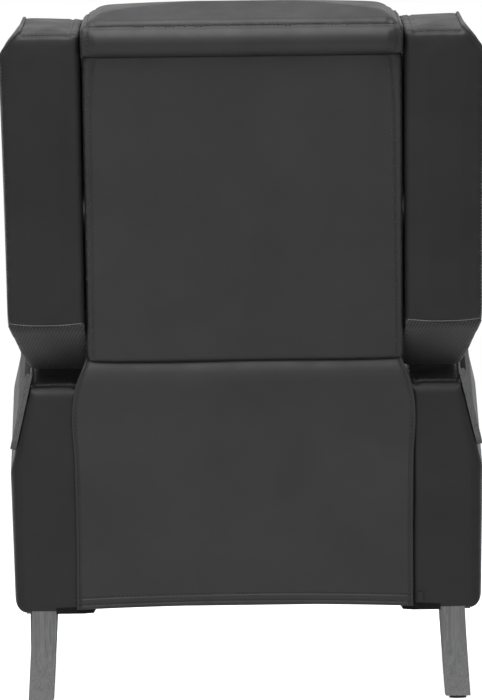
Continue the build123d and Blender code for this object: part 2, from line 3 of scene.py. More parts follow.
import logging
import math
from dataclasses import dataclass, field
from enum import Enum
from typing import Callable, Optional, Sequence

import bmesh
import bpy
import numpy as np
from bmesh.types import BMesh, BMVert
from bpy.types import Material, Mesh, Node, NodeSocket, NodeTree, Object
from mathutils import Matrix, Vector
from mathutils.bvhtree import BVHTree
from mathutils.kdtree import KDTree


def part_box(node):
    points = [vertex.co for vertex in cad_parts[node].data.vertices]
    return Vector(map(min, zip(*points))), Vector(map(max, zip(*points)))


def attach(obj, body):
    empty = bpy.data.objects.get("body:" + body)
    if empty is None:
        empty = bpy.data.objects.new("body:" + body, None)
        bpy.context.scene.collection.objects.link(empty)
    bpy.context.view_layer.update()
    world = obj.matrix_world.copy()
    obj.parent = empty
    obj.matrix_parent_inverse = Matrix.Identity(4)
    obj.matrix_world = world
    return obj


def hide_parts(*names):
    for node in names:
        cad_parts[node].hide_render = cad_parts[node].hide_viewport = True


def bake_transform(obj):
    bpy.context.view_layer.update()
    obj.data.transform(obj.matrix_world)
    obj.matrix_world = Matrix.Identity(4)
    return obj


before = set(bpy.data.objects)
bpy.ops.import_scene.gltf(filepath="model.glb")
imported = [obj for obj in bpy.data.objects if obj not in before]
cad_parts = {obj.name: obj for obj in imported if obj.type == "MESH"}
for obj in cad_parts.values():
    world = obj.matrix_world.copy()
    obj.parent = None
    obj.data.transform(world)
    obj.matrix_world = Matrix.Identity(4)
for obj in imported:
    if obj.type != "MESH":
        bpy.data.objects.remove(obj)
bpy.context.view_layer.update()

LOG = logging.getLogger("armchair")
SHIFT_Y = 0.009302  # how far the drawing's origin lies behind the row frame's
BACK_TILT = math.radians(12.0)
BACK_FOOT = (0.300 + SHIFT_Y, 0.508)  # lower rear edge of the back, as (y, z)
WELD = 1e-5  # points nearer than this are made one
SEAM_STEP = 0.002  # distance between the points of a sunk seam
SEAM_REACH = 3  # widths of a seam over which its puckers fade
PUCKERS = (0.61, 0.23)  # two waves along a seam, in radians per step
CORNER_STEPS = 6  # steps round each corner of a ring
LEATHER = "charcoal_leather"

Point = tuple[float, float, float]
Colour = tuple[float, float, float]
Path = list[Vector]
Span = tuple[float, float]
Number = float | np.ndarray
Stop = tuple[Vector, Vector]  # a point of a plane, and the way that is held back
CLOUD: Span = (0.3, 0.7)  # the range that cloudy noise covers


class Grain(Enum):
    """The way that a wood's grain runs."""

    ACROSS = 0
    FORWARD = 1
    UPRIGHT = 2


class Edge(Enum):
    """How a seam is finished."""

    PLAIN = "plain"
    STITCHED = "stitched"
    PIPED = "piped"


def back_point(x: float, n: float, s: float) -> Vector:
    """Place a point of the back's own plane.

    Args:
        x: distance across the chair.
        n: distance out to the rear of the back.
        s: distance up the back.

    Returns:
        The point in the row frame.
    """
    y = BACK_FOOT[0] + s * math.sin(BACK_TILT) + n * math.cos(BACK_TILT)
    z = BACK_FOOT[1] + s * math.cos(BACK_TILT) - n * math.sin(BACK_TILT)
    return Vector((x, y, z))


def back_line(points: Sequence[Point]) -> Path:
    """Place points of the back's own plane."""
    return [back_point(*p) for p in points]


BACK_UP = back_point(0, 0, 1) - back_point(0, 0, 0)
BACK_REAR = back_point(0, 1, 0) - back_point(0, 0, 0)


def drawn(x: float, y: float, z: float) -> Vector:
    """A point of the drawing, moved to the row frame."""
    return Vector((x, y + SHIFT_Y, z))


def walk(points: Sequence[Vector], step: float) -> Path:
    """Space points evenly along a polyline.

    Args:
        points: corners of the line.
        step: distance between the points.

    Returns:
        The points, the two ends included.
    """
    found: Path = [points[0].copy()]
    for a, b in zip(points, points[1:]):
        count = max(1, round((b - a).length / step))
        found += [a.lerp(b, i / count) for i in range(1, count + 1)]
    return found


def rounded_ring(half_u: float, half_v: float, corner: float,
                 place: Callable[[float, float], Vector]) -> Path:
    """Draw a closed rectangle with round corners.

    Args:
        half_u: half of its first size.
        half_v: half of its second size.
        corner: radius of its corners.
        place: turns (u, v) about the centre into a point.

    Returns:
        The ring's points, with the first one repeated at the end.
    """
    ring: Path = []
    for k, (su, sv) in enumerate(((1, 1), (-1, 1), (-1, -1), (1, -1))):
        for i in range(CORNER_STEPS + 1):
            a = (k + i / CORNER_STEPS) * math.pi / 2
            ring.append(place(su * (half_u - corner) + corner * math.cos(a),
                              sv * (half_v - corner) + corner * math.sin(a)))
    return ring + [ring[0].copy()]


def rows_of(items: bpy.types.bpy_prop_collection, key: str) -> np.ndarray:
    """Read one vector of each item.

    Args:
        items: a mesh's points or normals.
        key: the vector's name.

    Returns:
        The vectors as an array of rows.
    """
    flat = np.empty(len(items) * 3, np.float32)
    items.foreach_get(key, flat)
    return flat.reshape(-1, 3).astype(float)


def coords_of(mesh: Mesh) -> np.ndarray:
    """The mesh's points as an array of rows."""
    return rows_of(mesh.vertices, "co")


def normals_of(mesh: Mesh) -> np.ndarray:
    """The mesh's point normals as an array of rows."""
    return rows_of(mesh.vertex_normals, "vector")


def set_coords(mesh: Mesh, coords: np.ndarray) -> None:
    """Move the mesh's points to the rows of an array."""
    mesh.vertices.foreach_set("co", coords.astype(np.float32).ravel())
    mesh.update()


def back_offsets(coords: np.ndarray) -> tuple[np.ndarray, np.ndarray]:
    """Measure points in the back's own plane.

    Args:
        coords: rows of points in the row frame.

    Returns:
        How far each lies to the rear of the back, and how far up it.
    """
    y, z = coords[:, 1] - BACK_FOOT[0], coords[:, 2] - BACK_FOOT[1]
    sin, cos = math.sin(BACK_TILT), math.cos(BACK_TILT)
    return y * cos - z * sin, z * cos + y * sin


def push_rearward(coords: np.ndarray, push: np.ndarray) -> None:
    """Move points out to the rear of the back, by a distance for each."""
    coords[:, 1] += push * math.cos(BACK_TILT)
    coords[:, 2] -= push * math.sin(BACK_TILT)


def push_upward(coords: np.ndarray, push: np.ndarray) -> None:
    """Move points up along the back, by a distance for each."""
    coords[:, 1] += push * math.sin(BACK_TILT)
    coords[:, 2] += push * math.cos(BACK_TILT)


def round_corner(a: np.ndarray, b: np.ndarray, radius: Number) -> tuple[np.ndarray, np.ndarray]:
    """Round a corner by drawing the points outside its arc onto the arc.

    Args:
        a: depth of each point below the corner's first face.
        b: depth below its second face.
        radius: radius of the arc.

    Returns:
        How much deeper each point goes below the first face, and below the second.
    """
    da, db = radius - a, radius - b
    away = np.hypot(da, db)
    pull = np.where((da > 0) & (db > 0) & (away > radius), 1 - radius / np.maximum(away, 1e-9), 0.0)
    return da * pull, db * pull


def smooth_shade(mesh: Mesh) -> None:
    """Shade every face of the mesh smooth."""
    mesh.polygons.foreach_set("use_smooth", [True] * len(mesh.polygons))
    mesh.update()


def new_object(name: str, data: bpy.types.ID) -> Object:
    """Link a mesh, lamp or camera into the scene.

    Args:
        name: the object's name.
        data: the mesh, lamp or camera.

    Returns:
        The object.
    """
    made = bpy.data.objects.new(name, data)
    bpy.context.scene.collection.objects.link(made)
    return made


def piece_from(name: str, bm: BMesh, material: Optional[Material] = None) -> Object:
    """Turn built faces into a piece.

    Args:
        name: the piece's name.
        bm: its faces, which are freed.
        material: its finish, with which it is shaded smooth, or None to leave it bare.

    Returns:
        The piece.
    """
    mesh = bpy.data.meshes.new(name)
    bm.to_mesh(mesh)
    bm.free()
    if material:
        smooth_shade(mesh)
        mesh.materials.append(material)
    return new_object(name, mesh)


def bake_modifiers(piece: Object) -> None:
    """Apply all of a piece's modifiers.

    Args:
        piece: the piece, which gets a new mesh.
    """
    bpy.context.view_layer.update()
    shown = piece.evaluated_get(bpy.context.evaluated_depsgraph_get())
    made, old = bpy.data.meshes.new_from_object(shown), piece.data
    piece.modifiers.clear()
    piece.data = made
    bpy.data.meshes.remove(old)


def mirrored(piece: Object) -> Object:
    """Copy a left piece to the right side.

    Args:
        piece: the left piece, with "left" in its name.

    Returns:
        The new piece, with its faces turned the right way out.
    """
    mesh = piece.data.copy()
    coords = coords_of(mesh)
    coords[:, 0] *= -1
    set_coords(mesh, coords)
    mesh.flip_normals()
    return new_object(piece.name.replace("left", "right"), mesh)


def widened(piece: Object, reach: float) -> np.ndarray:
    """Stretch a piece's points sideways.

    Args:
        piece: the piece, which is left as it is.
        reach: the new half width.

    Returns:
        The stretched points as an array of rows.
    """
    coords = coords_of(piece.data)
    coords[:, 0] *= reach / np.abs(coords[:, 0]).max()
    return coords


def surface_of(piece: Object) -> BVHTree:
    """Make a search tree over a piece's faces.

    Args:
        piece: the piece.

    Returns:
        The tree.
    """
    mesh = piece.data
    return BVHTree.FromPolygons([v.co.copy() for v in mesh.vertices],
                                [tuple(p.vertices) for p in mesh.polygons])


# Finishes


class Wiring:
    """The nodes of one material, wired around its shader."""

    def __init__(self, name: str) -> None:
        """Start a material.

        Args:
            name: the material's name.
        """
        self.material = bpy.data.materials.new(name)
        self.material.use_nodes = True
        self.nodes = self.material.node_tree.nodes
        self.links = self.material.node_tree.links
        self.shader = self.nodes["Principled BSDF"]
        self.place = self.nodes.new("ShaderNodeTexCoord").outputs["Object"]

    def add(self, kind: str, inputs: dict, **options: object) -> Node:
        """Add a node.

        Args:
            kind: the node's type, without its common prefix.
            inputs: values or sockets for its inputs, by name or number.
            options: its other settings.

        Returns:
            The node.
        """
        node = self.nodes.new("ShaderNode" + kind)
        for key, value in options.items():
            setattr(node, key, value)
        for key, value in inputs.items():
            if isinstance(value, NodeSocket):
                self.links.new(value, node.inputs[key])
            else:
                node.inputs[key].default_value = value
        return node

    def noise(self, vector: NodeSocket, scale: float, detail: float = 3.0,
              distortion: float = 0.0) -> NodeSocket:
        """Cloudy noise over a vector, as its factor."""
        return self.add("TexNoise", {"Vector": vector, "Scale": scale, "Detail": detail,
                                     "Distortion": distortion}).outputs["Fac"]

    def stretched(self, scale: Point, turn: Point = (0, 0, 0)) -> NodeSocket:
        """The piece's own coordinates, turned and scaled."""
        return self.add("Mapping", {"Vector": self.place, "Scale": scale,
                                    "Rotation": turn}).outputs["Vector"]

    def ramp(self, value: NodeSocket, stops: Sequence[tuple[float, Colour]]) -> NodeSocket:
        """Turn a value into a colour.

        Args:
            value: the socket that drives it.
            stops: places along the ramp and their colours.

        Returns:
            The colour's socket.
        """
        node = self.add("ValToRGB", {"Fac": value})
        elements = node.color_ramp.elements
        while len(elements) < len(stops):
            elements.new(0.5)
        for element, (at, colour) in zip(elements, stops):
            element.position = at
            element.color = (*colour, 1.0)
        return node.outputs["Color"]

    def wave(self, scale: float, distortion: float, bands: str) -> NodeSocket:
        """Stripes over the piece's own coordinates, as their factor."""
        return self.add("TexWave", {"Vector": self.place, "Scale": scale, "Distortion": distortion},
                        bands_direction=bands).outputs["Fac"]

    def spread(self, value: NodeSocket, to: Span, span: Span = CLOUD) -> NodeSocket:
        """Move a value from its own span to another."""
        return self.add("MapRange", {"Value": value, "From Min": span[0], "From Max": span[1],
                                     "To Min": to[0], "To Max": to[1]}).outputs["Result"]

    def product(self, a: object, b: object) -> NodeSocket:
        """Multiply two values."""
        return self.add("Math", {0: a, 1: b}, operation="MULTIPLY").outputs[0]

    def mixed(self, share: NodeSocket, a: NodeSocket, b: Colour) -> NodeSocket:
        """Mix a colour into another by a share."""
        return self.add("Mix", {0: share, 6: a, 7: (*b, 1.0)}, data_type="RGBA").outputs[2]

    def bump(self, height: NodeSocket, strength: float, distance: float,
             below: Optional[NodeSocket] = None) -> NodeSocket:
        """Raise a height on the surface.

        Args:
            height: the height, as a value.
            strength: how much of it shows.
            distance: how high a value of 1 is, in metres.
            below: an earlier bump that it lies on, if any.

        Returns:
            The bumped normal.
        """
        inputs = {"Height": height, "Strength": strength, "Distance": distance}
        if below is not None:
            inputs["Normal"] = below
        return self.add("Bump", inputs).outputs["Normal"]

    def worn_edges(self, colour: NodeSocket, worn: Colour, sharp: Span,
                   scuff: NodeSocket) -> NodeSocket:
        """Rub a colour lighter along the sharp edges, where a pattern lets it.

        Args:
            colour: the colour elsewhere.
            worn: the rubbed colour.
            sharp: pointiness at which the rubbing starts, and at which it is full.
            scuff: the pattern.

        Returns:
            The colour's socket.
        """
        point = self.add("NewGeometry", {}).outputs["Pointiness"]
        return self.mixed(self.product(self.spread(point, (0.0, 1.0), sharp), scuff), colour, worn)

    def dress(self, colour: NodeSocket, roughness: NodeSocket,
              normal: NodeSocket, **fixed: object) -> Material:
        """Wire the shader.

        Args:
            colour: base colour.
            roughness: roughness.
            normal: bumped normal.
            fixed: values that are the same all over, by socket name with _ for a space.

        Returns:
            The finished material.
        """
        for key, socket in (("Base Color", colour), ("Roughness", roughness), ("Normal", normal)):
            self.links.new(socket, self.shader.inputs[key])
        for key, value in fixed.items():
            self.shader.inputs[key.replace("_", " ")].default_value = value
        return self.material


def grey(level: float) -> Colour:
    """A neutral colour."""
    return (level, level, level)


@dataclass(frozen=True)
class Leather:
    """Charcoal leather with a fine pebble and soft creases."""

    name: str = LEATHER
    dark: Colour = (0.0152, 0.0152, 0.0157)
    light: Colour = (0.0207, 0.0207, 0.0213)
    worn: Colour = (0.040, 0.040, 0.041)
    clouds: float = 7.0
    creases: float = 46.0
    scuffs: float = 60.0
    sheen: float = 24.0
    pebble: float = 720.0
    shine: Span = (0.40, 0.52)
    gloss: float = 0.20

    def material(self) -> Material:
        """Wire the leather.

        Returns:
            The material.
        """
        w = Wiring(self.name)
        clouds = w.noise(w.place, self.clouds, 5.0, distortion=0.4)
        tone = w.ramp(clouds, ((0.32, self.dark), (0.68, self.light)))
        tone = w.worn_edges(tone, self.worn, (0.53, 0.62), w.noise(w.place, self.scuffs, 4.0))
        cells = w.add("TexVoronoi", {"Vector": w.place, "Scale": self.pebble,
                                     "Randomness": 0.9}, feature="SMOOTH_F1").outputs["Distance"]
        normal = w.bump(cells, strength=0.16, distance=0.0005)
        creases = w.noise(w.place, self.creases, 5.0, distortion=0.7)
        normal = w.bump(creases, strength=0.16, distance=0.0012, below=normal)
        shine = w.spread(w.noise(w.place, self.sheen, 4.0), self.shine)
        return w.dress(tone, shine, normal, Specular_IOR_Level=self.gloss)


@dataclass(frozen=True)
class Twill:
    """Black non-slip twill with diagonal ribs."""

    name: str = "black_twill"
    dark: Colour = grey(0.012)
    light: Colour = grey(0.042)
    fuzz: Colour = grey(0.02)
    rib: float = 74.0
    lean: float = 31.0
    shine: Span = (0.78, 0.92)

    def material(self) -> Material:
        """Wire the twill.

        Returns:
            The material.
        """
        w = Wiring(self.name)
        turned = w.stretched((1, 1, 1), (0, math.radians(self.lean), 0))
        ribs = w.add("TexWave", {"Vector": turned, "Scale": self.rib, "Distortion": 0.6,
                                 "Detail": 2.0, "Detail Scale": 3.0}).outputs["Fac"]
        threads = w.noise(w.stretched((900, 900, 900)), 1.0, 2.0)
        tone = w.ramp(ribs, ((0.1, self.dark), (0.9, self.light)))
        tone = w.mixed(w.spread(threads, (0.0, 0.35), (0.35, 0.65)), tone, self.fuzz)
        normal = w.bump(ribs, strength=0.55, distance=0.0008)
        normal = w.bump(threads, strength=0.2, distance=0.0004, below=normal)
        return w.dress(tone, w.spread(threads, self.shine), normal, Sheen_Weight=0.15,
                       Specular_IOR_Level=0.25)


@dataclass(frozen=True)
class Wood:
    """Stained or plain wood with its grain along one axis."""

    name: str
    grain: Grain
    dark: Colour
    light: Colour
    worn: Colour
    shine: Span = (0.60, 0.74)
    gloss: float = 0.12

    def material(self) -> Material:
        """Wire the wood.

        Returns:
            The material.
        """
        w = Wiring(self.name)
        wide, fine = [170.0] * 3, [900.0] * 3  # how often the patterns turn across the grain
        wide[self.grain.value], fine[self.grain.value] = 0.7, 4.0  # and along it
        rings = w.noise(w.stretched(tuple(wide)), 1.0, 3.0, distortion=0.1)
        pores = w.noise(w.stretched(tuple(fine)), 1.0, 2.0)
        tone = w.ramp(rings, ((0.30, self.dark), (0.52, self.light), (0.72, self.dark)))
        tone = w.mixed(w.spread(pores, (0.40, 0.0), (0.42, 0.62)), tone, self.dark)
        scuff = w.spread(pores, (0.0, 0.6), (0.45, 0.7))
        tone = w.worn_edges(tone, self.worn, (0.52, 0.66), scuff)
        normal = w.bump(pores, strength=0.35, distance=0.0004)
        normal = w.bump(rings, strength=0.12, distance=0.0006, below=normal)
        return w.dress(tone, w.spread(rings, self.shine), normal, Specular_IOR_Level=self.gloss)


@dataclass(frozen=True)
class Metal:
    """Steel, painted or bare, with fine brushing."""

    name: str
    dark: Colour
    light: Colour
    metallic: float
    shine: Span
    gloss: float = 0.5

    def material(self) -> Material:
        """Wire the metal.

        Returns:
            The material.
        """
        w = Wiring(self.name)
        brush = w.noise(w.stretched((900.0, 60.0, 60.0)), 1.0, 3.0)
        tone = w.ramp(w.noise(w.place, 40.0, 5.0), tuple(zip(CLOUD, (self.dark, self.light))))
        normal = w.bump(brush, strength=0.10, distance=0.0003)
        return w.dress(tone, w.spread(brush, self.shine), normal, Metallic=self.metallic,
                       Specular_IOR_Level=self.gloss)


@dataclass(frozen=True)
class Nylon:
    """Moulded nylon with a fine spark-eroded texture."""

    name: str = "moulded_nylon"
    dark: Colour = grey(0.006)
    light: Colour = grey(0.011)
    shine: Span = (0.50, 0.66)

    def material(self) -> Material:
        """Wire the nylon.

        Returns:
            The material.
        """
        w = Wiring(self.name)
        speck = w.noise(w.place, 900.0, 3.0)
        tone = w.ramp(w.noise(w.place, 30.0, 3.0), tuple(zip(CLOUD, (self.dark, self.light))))
        normal = w.bump(speck, strength=0.25, distance=0.0003)
        return w.dress(tone, w.spread(speck, self.shine), normal, Specular_IOR_Level=0.2)


@dataclass(frozen=True)
class Webbing:
    """Woven elastic webbing."""

    name: str = "elastic_webbing"
    dark: Colour = (0.030, 0.029, 0.027)
    light: Colour = (0.105, 0.100, 0.092)
    thread: float = 150.0
    shine: Span = (0.8, 0.95)

    def material(self) -> Material:
        """Wire the webbing.

        Returns:
            The material.
        """
        w = Wiring(self.name)
        woven = w.product(*(w.wave(self.thread, 0.4, bands) for bands in "XZ"))
        tone = w.ramp(woven, ((0.05, self.dark), (0.7, self.light)))
        fuzz = w.noise(w.place, 700.0, 2.0)
        normal = w.bump(woven, strength=0.5, distance=0.0006)
        return w.dress(tone, w.spread(fuzz, self.shine), normal, Sheen_Weight=0.2)


@dataclass(frozen=True)
class Thread:
    """Bonded sewing thread with a twist."""

    name: str = "sewing_thread"
    dark: Colour = grey(0.006)
    light: Colour = (0.034, 0.030, 0.026)
    twist: float = 260.0
    shine: Span = (0.45, 0.65)

    def material(self) -> Material:
        """Wire the thread.

        Returns:
            The material.
        """
        w = Wiring(self.name)
        twist = w.wave(self.twist, 1.0, "DIAGONAL")
        tone = w.ramp(twist, ((0.1, self.dark), (0.8, self.light)))
        normal = w.bump(twist, strength=0.4, distance=0.0002)
        return w.dress(tone, w.spread(twist, self.shine, (0.0, 1.0)), normal)


class Finishes:
    """All of the chair's finishes, made once."""

    def __init__(self) -> None:
        """Make each material."""
        self.leather = Leather().material()
        # Painted shade: the same charcoal leather made darker for the wings and arms, whose faces
        # take less light.
        self.shaded_leather = Leather("charcoal_shaded_leather", (0.0092, 0.0092, 0.0097),
                                    (0.0132, 0.0132, 0.0138), gloss=0.16).material()
        self.twill = Twill().material()
        self.thread = Thread().material()
        self.pale_thread = Thread("hem_thread", grey(0.050), grey(0.150)).material()
        self.webbing = Webbing().material()
        self.nylon = Nylon().material()
        self.leg_wood = Wood("grey_wood_legs", Grain.UPRIGHT, (0.115, 0.116, 0.118),
                             (0.166, 0.167, 0.170), grey(0.22)).material()
        # Painted shade: the legs' grey wood in a darker tone for the trims, whose faces take less
        # light.
        self.shaded_trim_wood = Wood("shaded_grey_wood_trims", Grain.FORWARD, (0.066, 0.067, 0.069),
                              (0.108, 0.109, 0.112), grey(0.18), gloss=0.04).material()
        self.timber = {grain: Wood("frame_wood_" + grain.name.lower(), grain, (0.070, 0.043, 0.026),
                                   (0.135, 0.088, 0.054), (0.20, 0.14, 0.09)).material()
                       for grain in Grain}
        self.board = Wood("black_board", Grain.FORWARD, grey(0.004), grey(0.009), grey(0.016),
                          (0.66, 0.80), 0.06).material()
        self.black_steel = Metal("black_steel", grey(0.010), (0.020, 0.020, 0.021), 0.0,
                                 (0.50, 0.64), 0.12).material()
        self.bare_steel = Metal("bare_steel", (0.50, 0.49, 0.47), (0.62, 0.61, 0.59), 1.0,
                                (0.26, 0.40)).material()


# Soft forms and sewing


@dataclass
class Seam:
    """A sewn line on a soft piece.

    The line is drawn near the surface and pulled onto it.
    """

    line: Path
    edge: Edge = Edge.STITCHED
    depth: float = 0.0015
    width: float = 0.0046
    pucker: float = 0.0002


@dataclass(frozen=True)
class Sewing:
    """Thread, piping and welts along seams."""

    pitch: float = 0.0056
    stitch: float = 0.0040
    gauge: float = 0.00062
    beside: float = 0.0035
    shortest: float = 0.4  # share of the pitch that a stitch needs
    lens: tuple[Point, ...] = ((-0.72, 0.35, 0.85), (0.0, 0.55, 1.0), (0.72, 0.35, 0.85))
    sink: float = 0.6  # how far a stitch's tips sink, in gauges
    dome: tuple[Span, ...] = ((0.9, 0.35), (0.6, 0.75))  # a cord's end, as place and radius
    ease_rounds: int = 3
    cord_step: float = 0.006

    @staticmethod
    def laid(line: Path, surface: BVHTree, step: float) -> list[tuple[Vector, Vector]]:
        """Lay a line on a surface.

        Args:
            line: the line, near the surface.
            surface: the surface.
            step: distance between the points.

        Returns:
            Points on the surface, each with the surface's normal there.
        """
        found = (surface.find_nearest(p) for p in walk(line, step))
        return [(at, normal) for at, normal, _, _ in found if at is not None]

    def stitches(self, name: str, seams: Sequence[Seam], piece: Object,
                 material: Material) -> Object:
        """Sew a row of stitches beside each stitched seam.

        Args:
            name: the new piece's name.
            seams: seams of the soft piece.
            piece: the soft piece.
            material: the thread.

        Returns:
            The stitches as one piece.
        """
        surface, bm = surface_of(piece), bmesh.new()
        for seam in seams:
            if seam.edge is not Edge.STITCHED:
                continue
            laid = self.laid(seam.line, surface, self.pitch)
            for (a, up), (b, _) in zip(laid, laid[1:]):
                if (b - a).length < self.pitch * self.shortest:
                    continue
                run = (b - a).normalized()
                aside = run.cross(up).normalized() * self.beside
                at, normal, _, _ = surface.find_nearest((a + b) / 2 + aside)
                self._one(bm, at, run, normal)
        return piece_from(name, bm, material)

    def _one(self, bm: BMesh, at: Vector, run: Vector, up: Vector) -> None:
        """Add one stitch: a short lens of thread, sunk at both ends.

        Args:
            bm: the faces to add it to.
            at: its place on the surface.
            run: the way that it runs.
            up: the surface's normal there.
        """
        run = (run - up * run.dot(up)).normalized()
        aside = run.cross(up)
        half, r = self.stitch / 2, self.gauge
        rings = []
        for along, lift, size in self.lens:
            centre = at + run * (along * half) + up * (lift * r)
            rings.append([bm.verts.new(centre + (aside * math.cos(t) + up * math.sin(t)) * r * size)
                          for t in (0, math.pi / 3, 2 * math.pi / 3, math.pi, 3 * math.pi / 2)])
        tips = [bm.verts.new(at + run * (k * half) - up * (self.sink * r)) for k in (-1, 1)]
        count = len(rings[0])
        for i in range(count):
            j = (i + 1) % count
            for low, high in zip(rings, rings[1:]):
                bm.faces.new((low[i], low[j], high[j], high[i]))
            bm.faces.new((tips[0], rings[0][j], rings[0][i]))
            bm.faces.new((tips[1], rings[-1][i], rings[-1][j]))

    def cords(self, name: str, lines: Sequence[tuple[Path, float, float]],
              piece: Object, material: Material) -> Object:
        """Make piping: covered cords with round ends.

        Args:
            name: the new piece's name.
            lines: each cord's line, radius and lift off the surface.
            piece: the soft piece that the lines are laid on.
            material: the covering.

        Returns:
            The cords as one piece.
        """
        surface, bm = surface_of(piece), bmesh.new()
        for line, radius, lift in lines:
            laid = self.laid(line, surface, self.cord_step)
            self._tube(bm, self._eased([at + up * lift for at, up in laid]), radius)
        return piece_from(name, bm, material)

    @staticmethod
    def _is_ring(points: Path) -> bool:
        """Whether a line ends where it starts."""
        return (points[0] - points[-1]).length < 1e-6

    def _eased(self, points: Path) -> Path:
        """Even out a line's small kinks, and keep a closed line closed.

        Args:
            points: the line.

        Returns:
            The evened line.
        """
        closed = self._is_ring(points)
        for _ in range(self.ease_rounds):
            middle = [(a + b * 2 + c) / 4 for a, b, c in zip(points, points[1:], points[2:])]
            if closed:
                end = (points[-2] + points[0] * 2 + points[1]) / 4
                points = [end, *middle, end.copy()]
            else:
                points = [points[0], *middle, points[-1]]
        return points

    def _tube(self, bm: BMesh, points: Path, radius: float, sides: int = 10) -> None:
        """Add a tube along a line, closed on itself or with domed ends.

        Args:
            bm: the faces to add it to.
            points: the line.
            radius: the tube's radius.
            sides: number of its sides.
        """
        closed = self._is_ring(points)
        line = points[:-1] if closed else points
        count = len(line)
        across = (line[1] - line[0]).orthogonal().normalized()
        rings = []
        stations: list[tuple[Vector, Vector, float]] = []
        for i, p in enumerate(line):
            after = line[(i + 1) % count] if closed else line[min(i + 1, count - 1)]
            before = line[i - 1] if closed else line[max(i - 1, 0)]
            stations.append((p, (after - before).normalized(), radius))
        if not closed:
            for k, way in ((0, -1), (-1, 1)):
                at, run, _ = stations[k]
                cap = [(at + run * way * radius * a, run, radius * b) for a, b in self.dome]
                stations = cap + stations if way < 0 else stations + cap[::-1]
        for p, run, r in stations:
            across = (across - run * across.dot(run)).normalized()
            up = run.cross(across)
            rings.append([bm.verts.new(p + (across * math.cos(a) + up * math.sin(a)) * r)
                          for a in (2 * math.pi * k / sides for k in range(sides))])
        pairs = list(zip(rings, rings[1:])) + ([(rings[-1], rings[0])] if closed else [])
        for low, high in pairs:
            for k in range(sides):
                m = (k + 1) % sides
                bm.faces.new((low[k], low[m], high[m], high[k]))
        if not closed:
            bm.faces.new(list(reversed(rings[0])))
            bm.faces.new(rings[-1])


@dataclass
class Stuffing:
    """How a soft form is grown from its plain solid."""

    voxel: float = 0.0060
    shrink: float = 0.0040
    pressure: float = 5.0
    cap: float = 0.010
    proud: float = 0.0015
    frames: int = 16
    smooth: int = 6
    stops: Sequence[Stop] = ()


def wall(way: Point, at: float) -> Stop:
    """A stop across one axis, at a place along it."""
    return Vector([abs(c) for c in way]) * at, Vector(way)


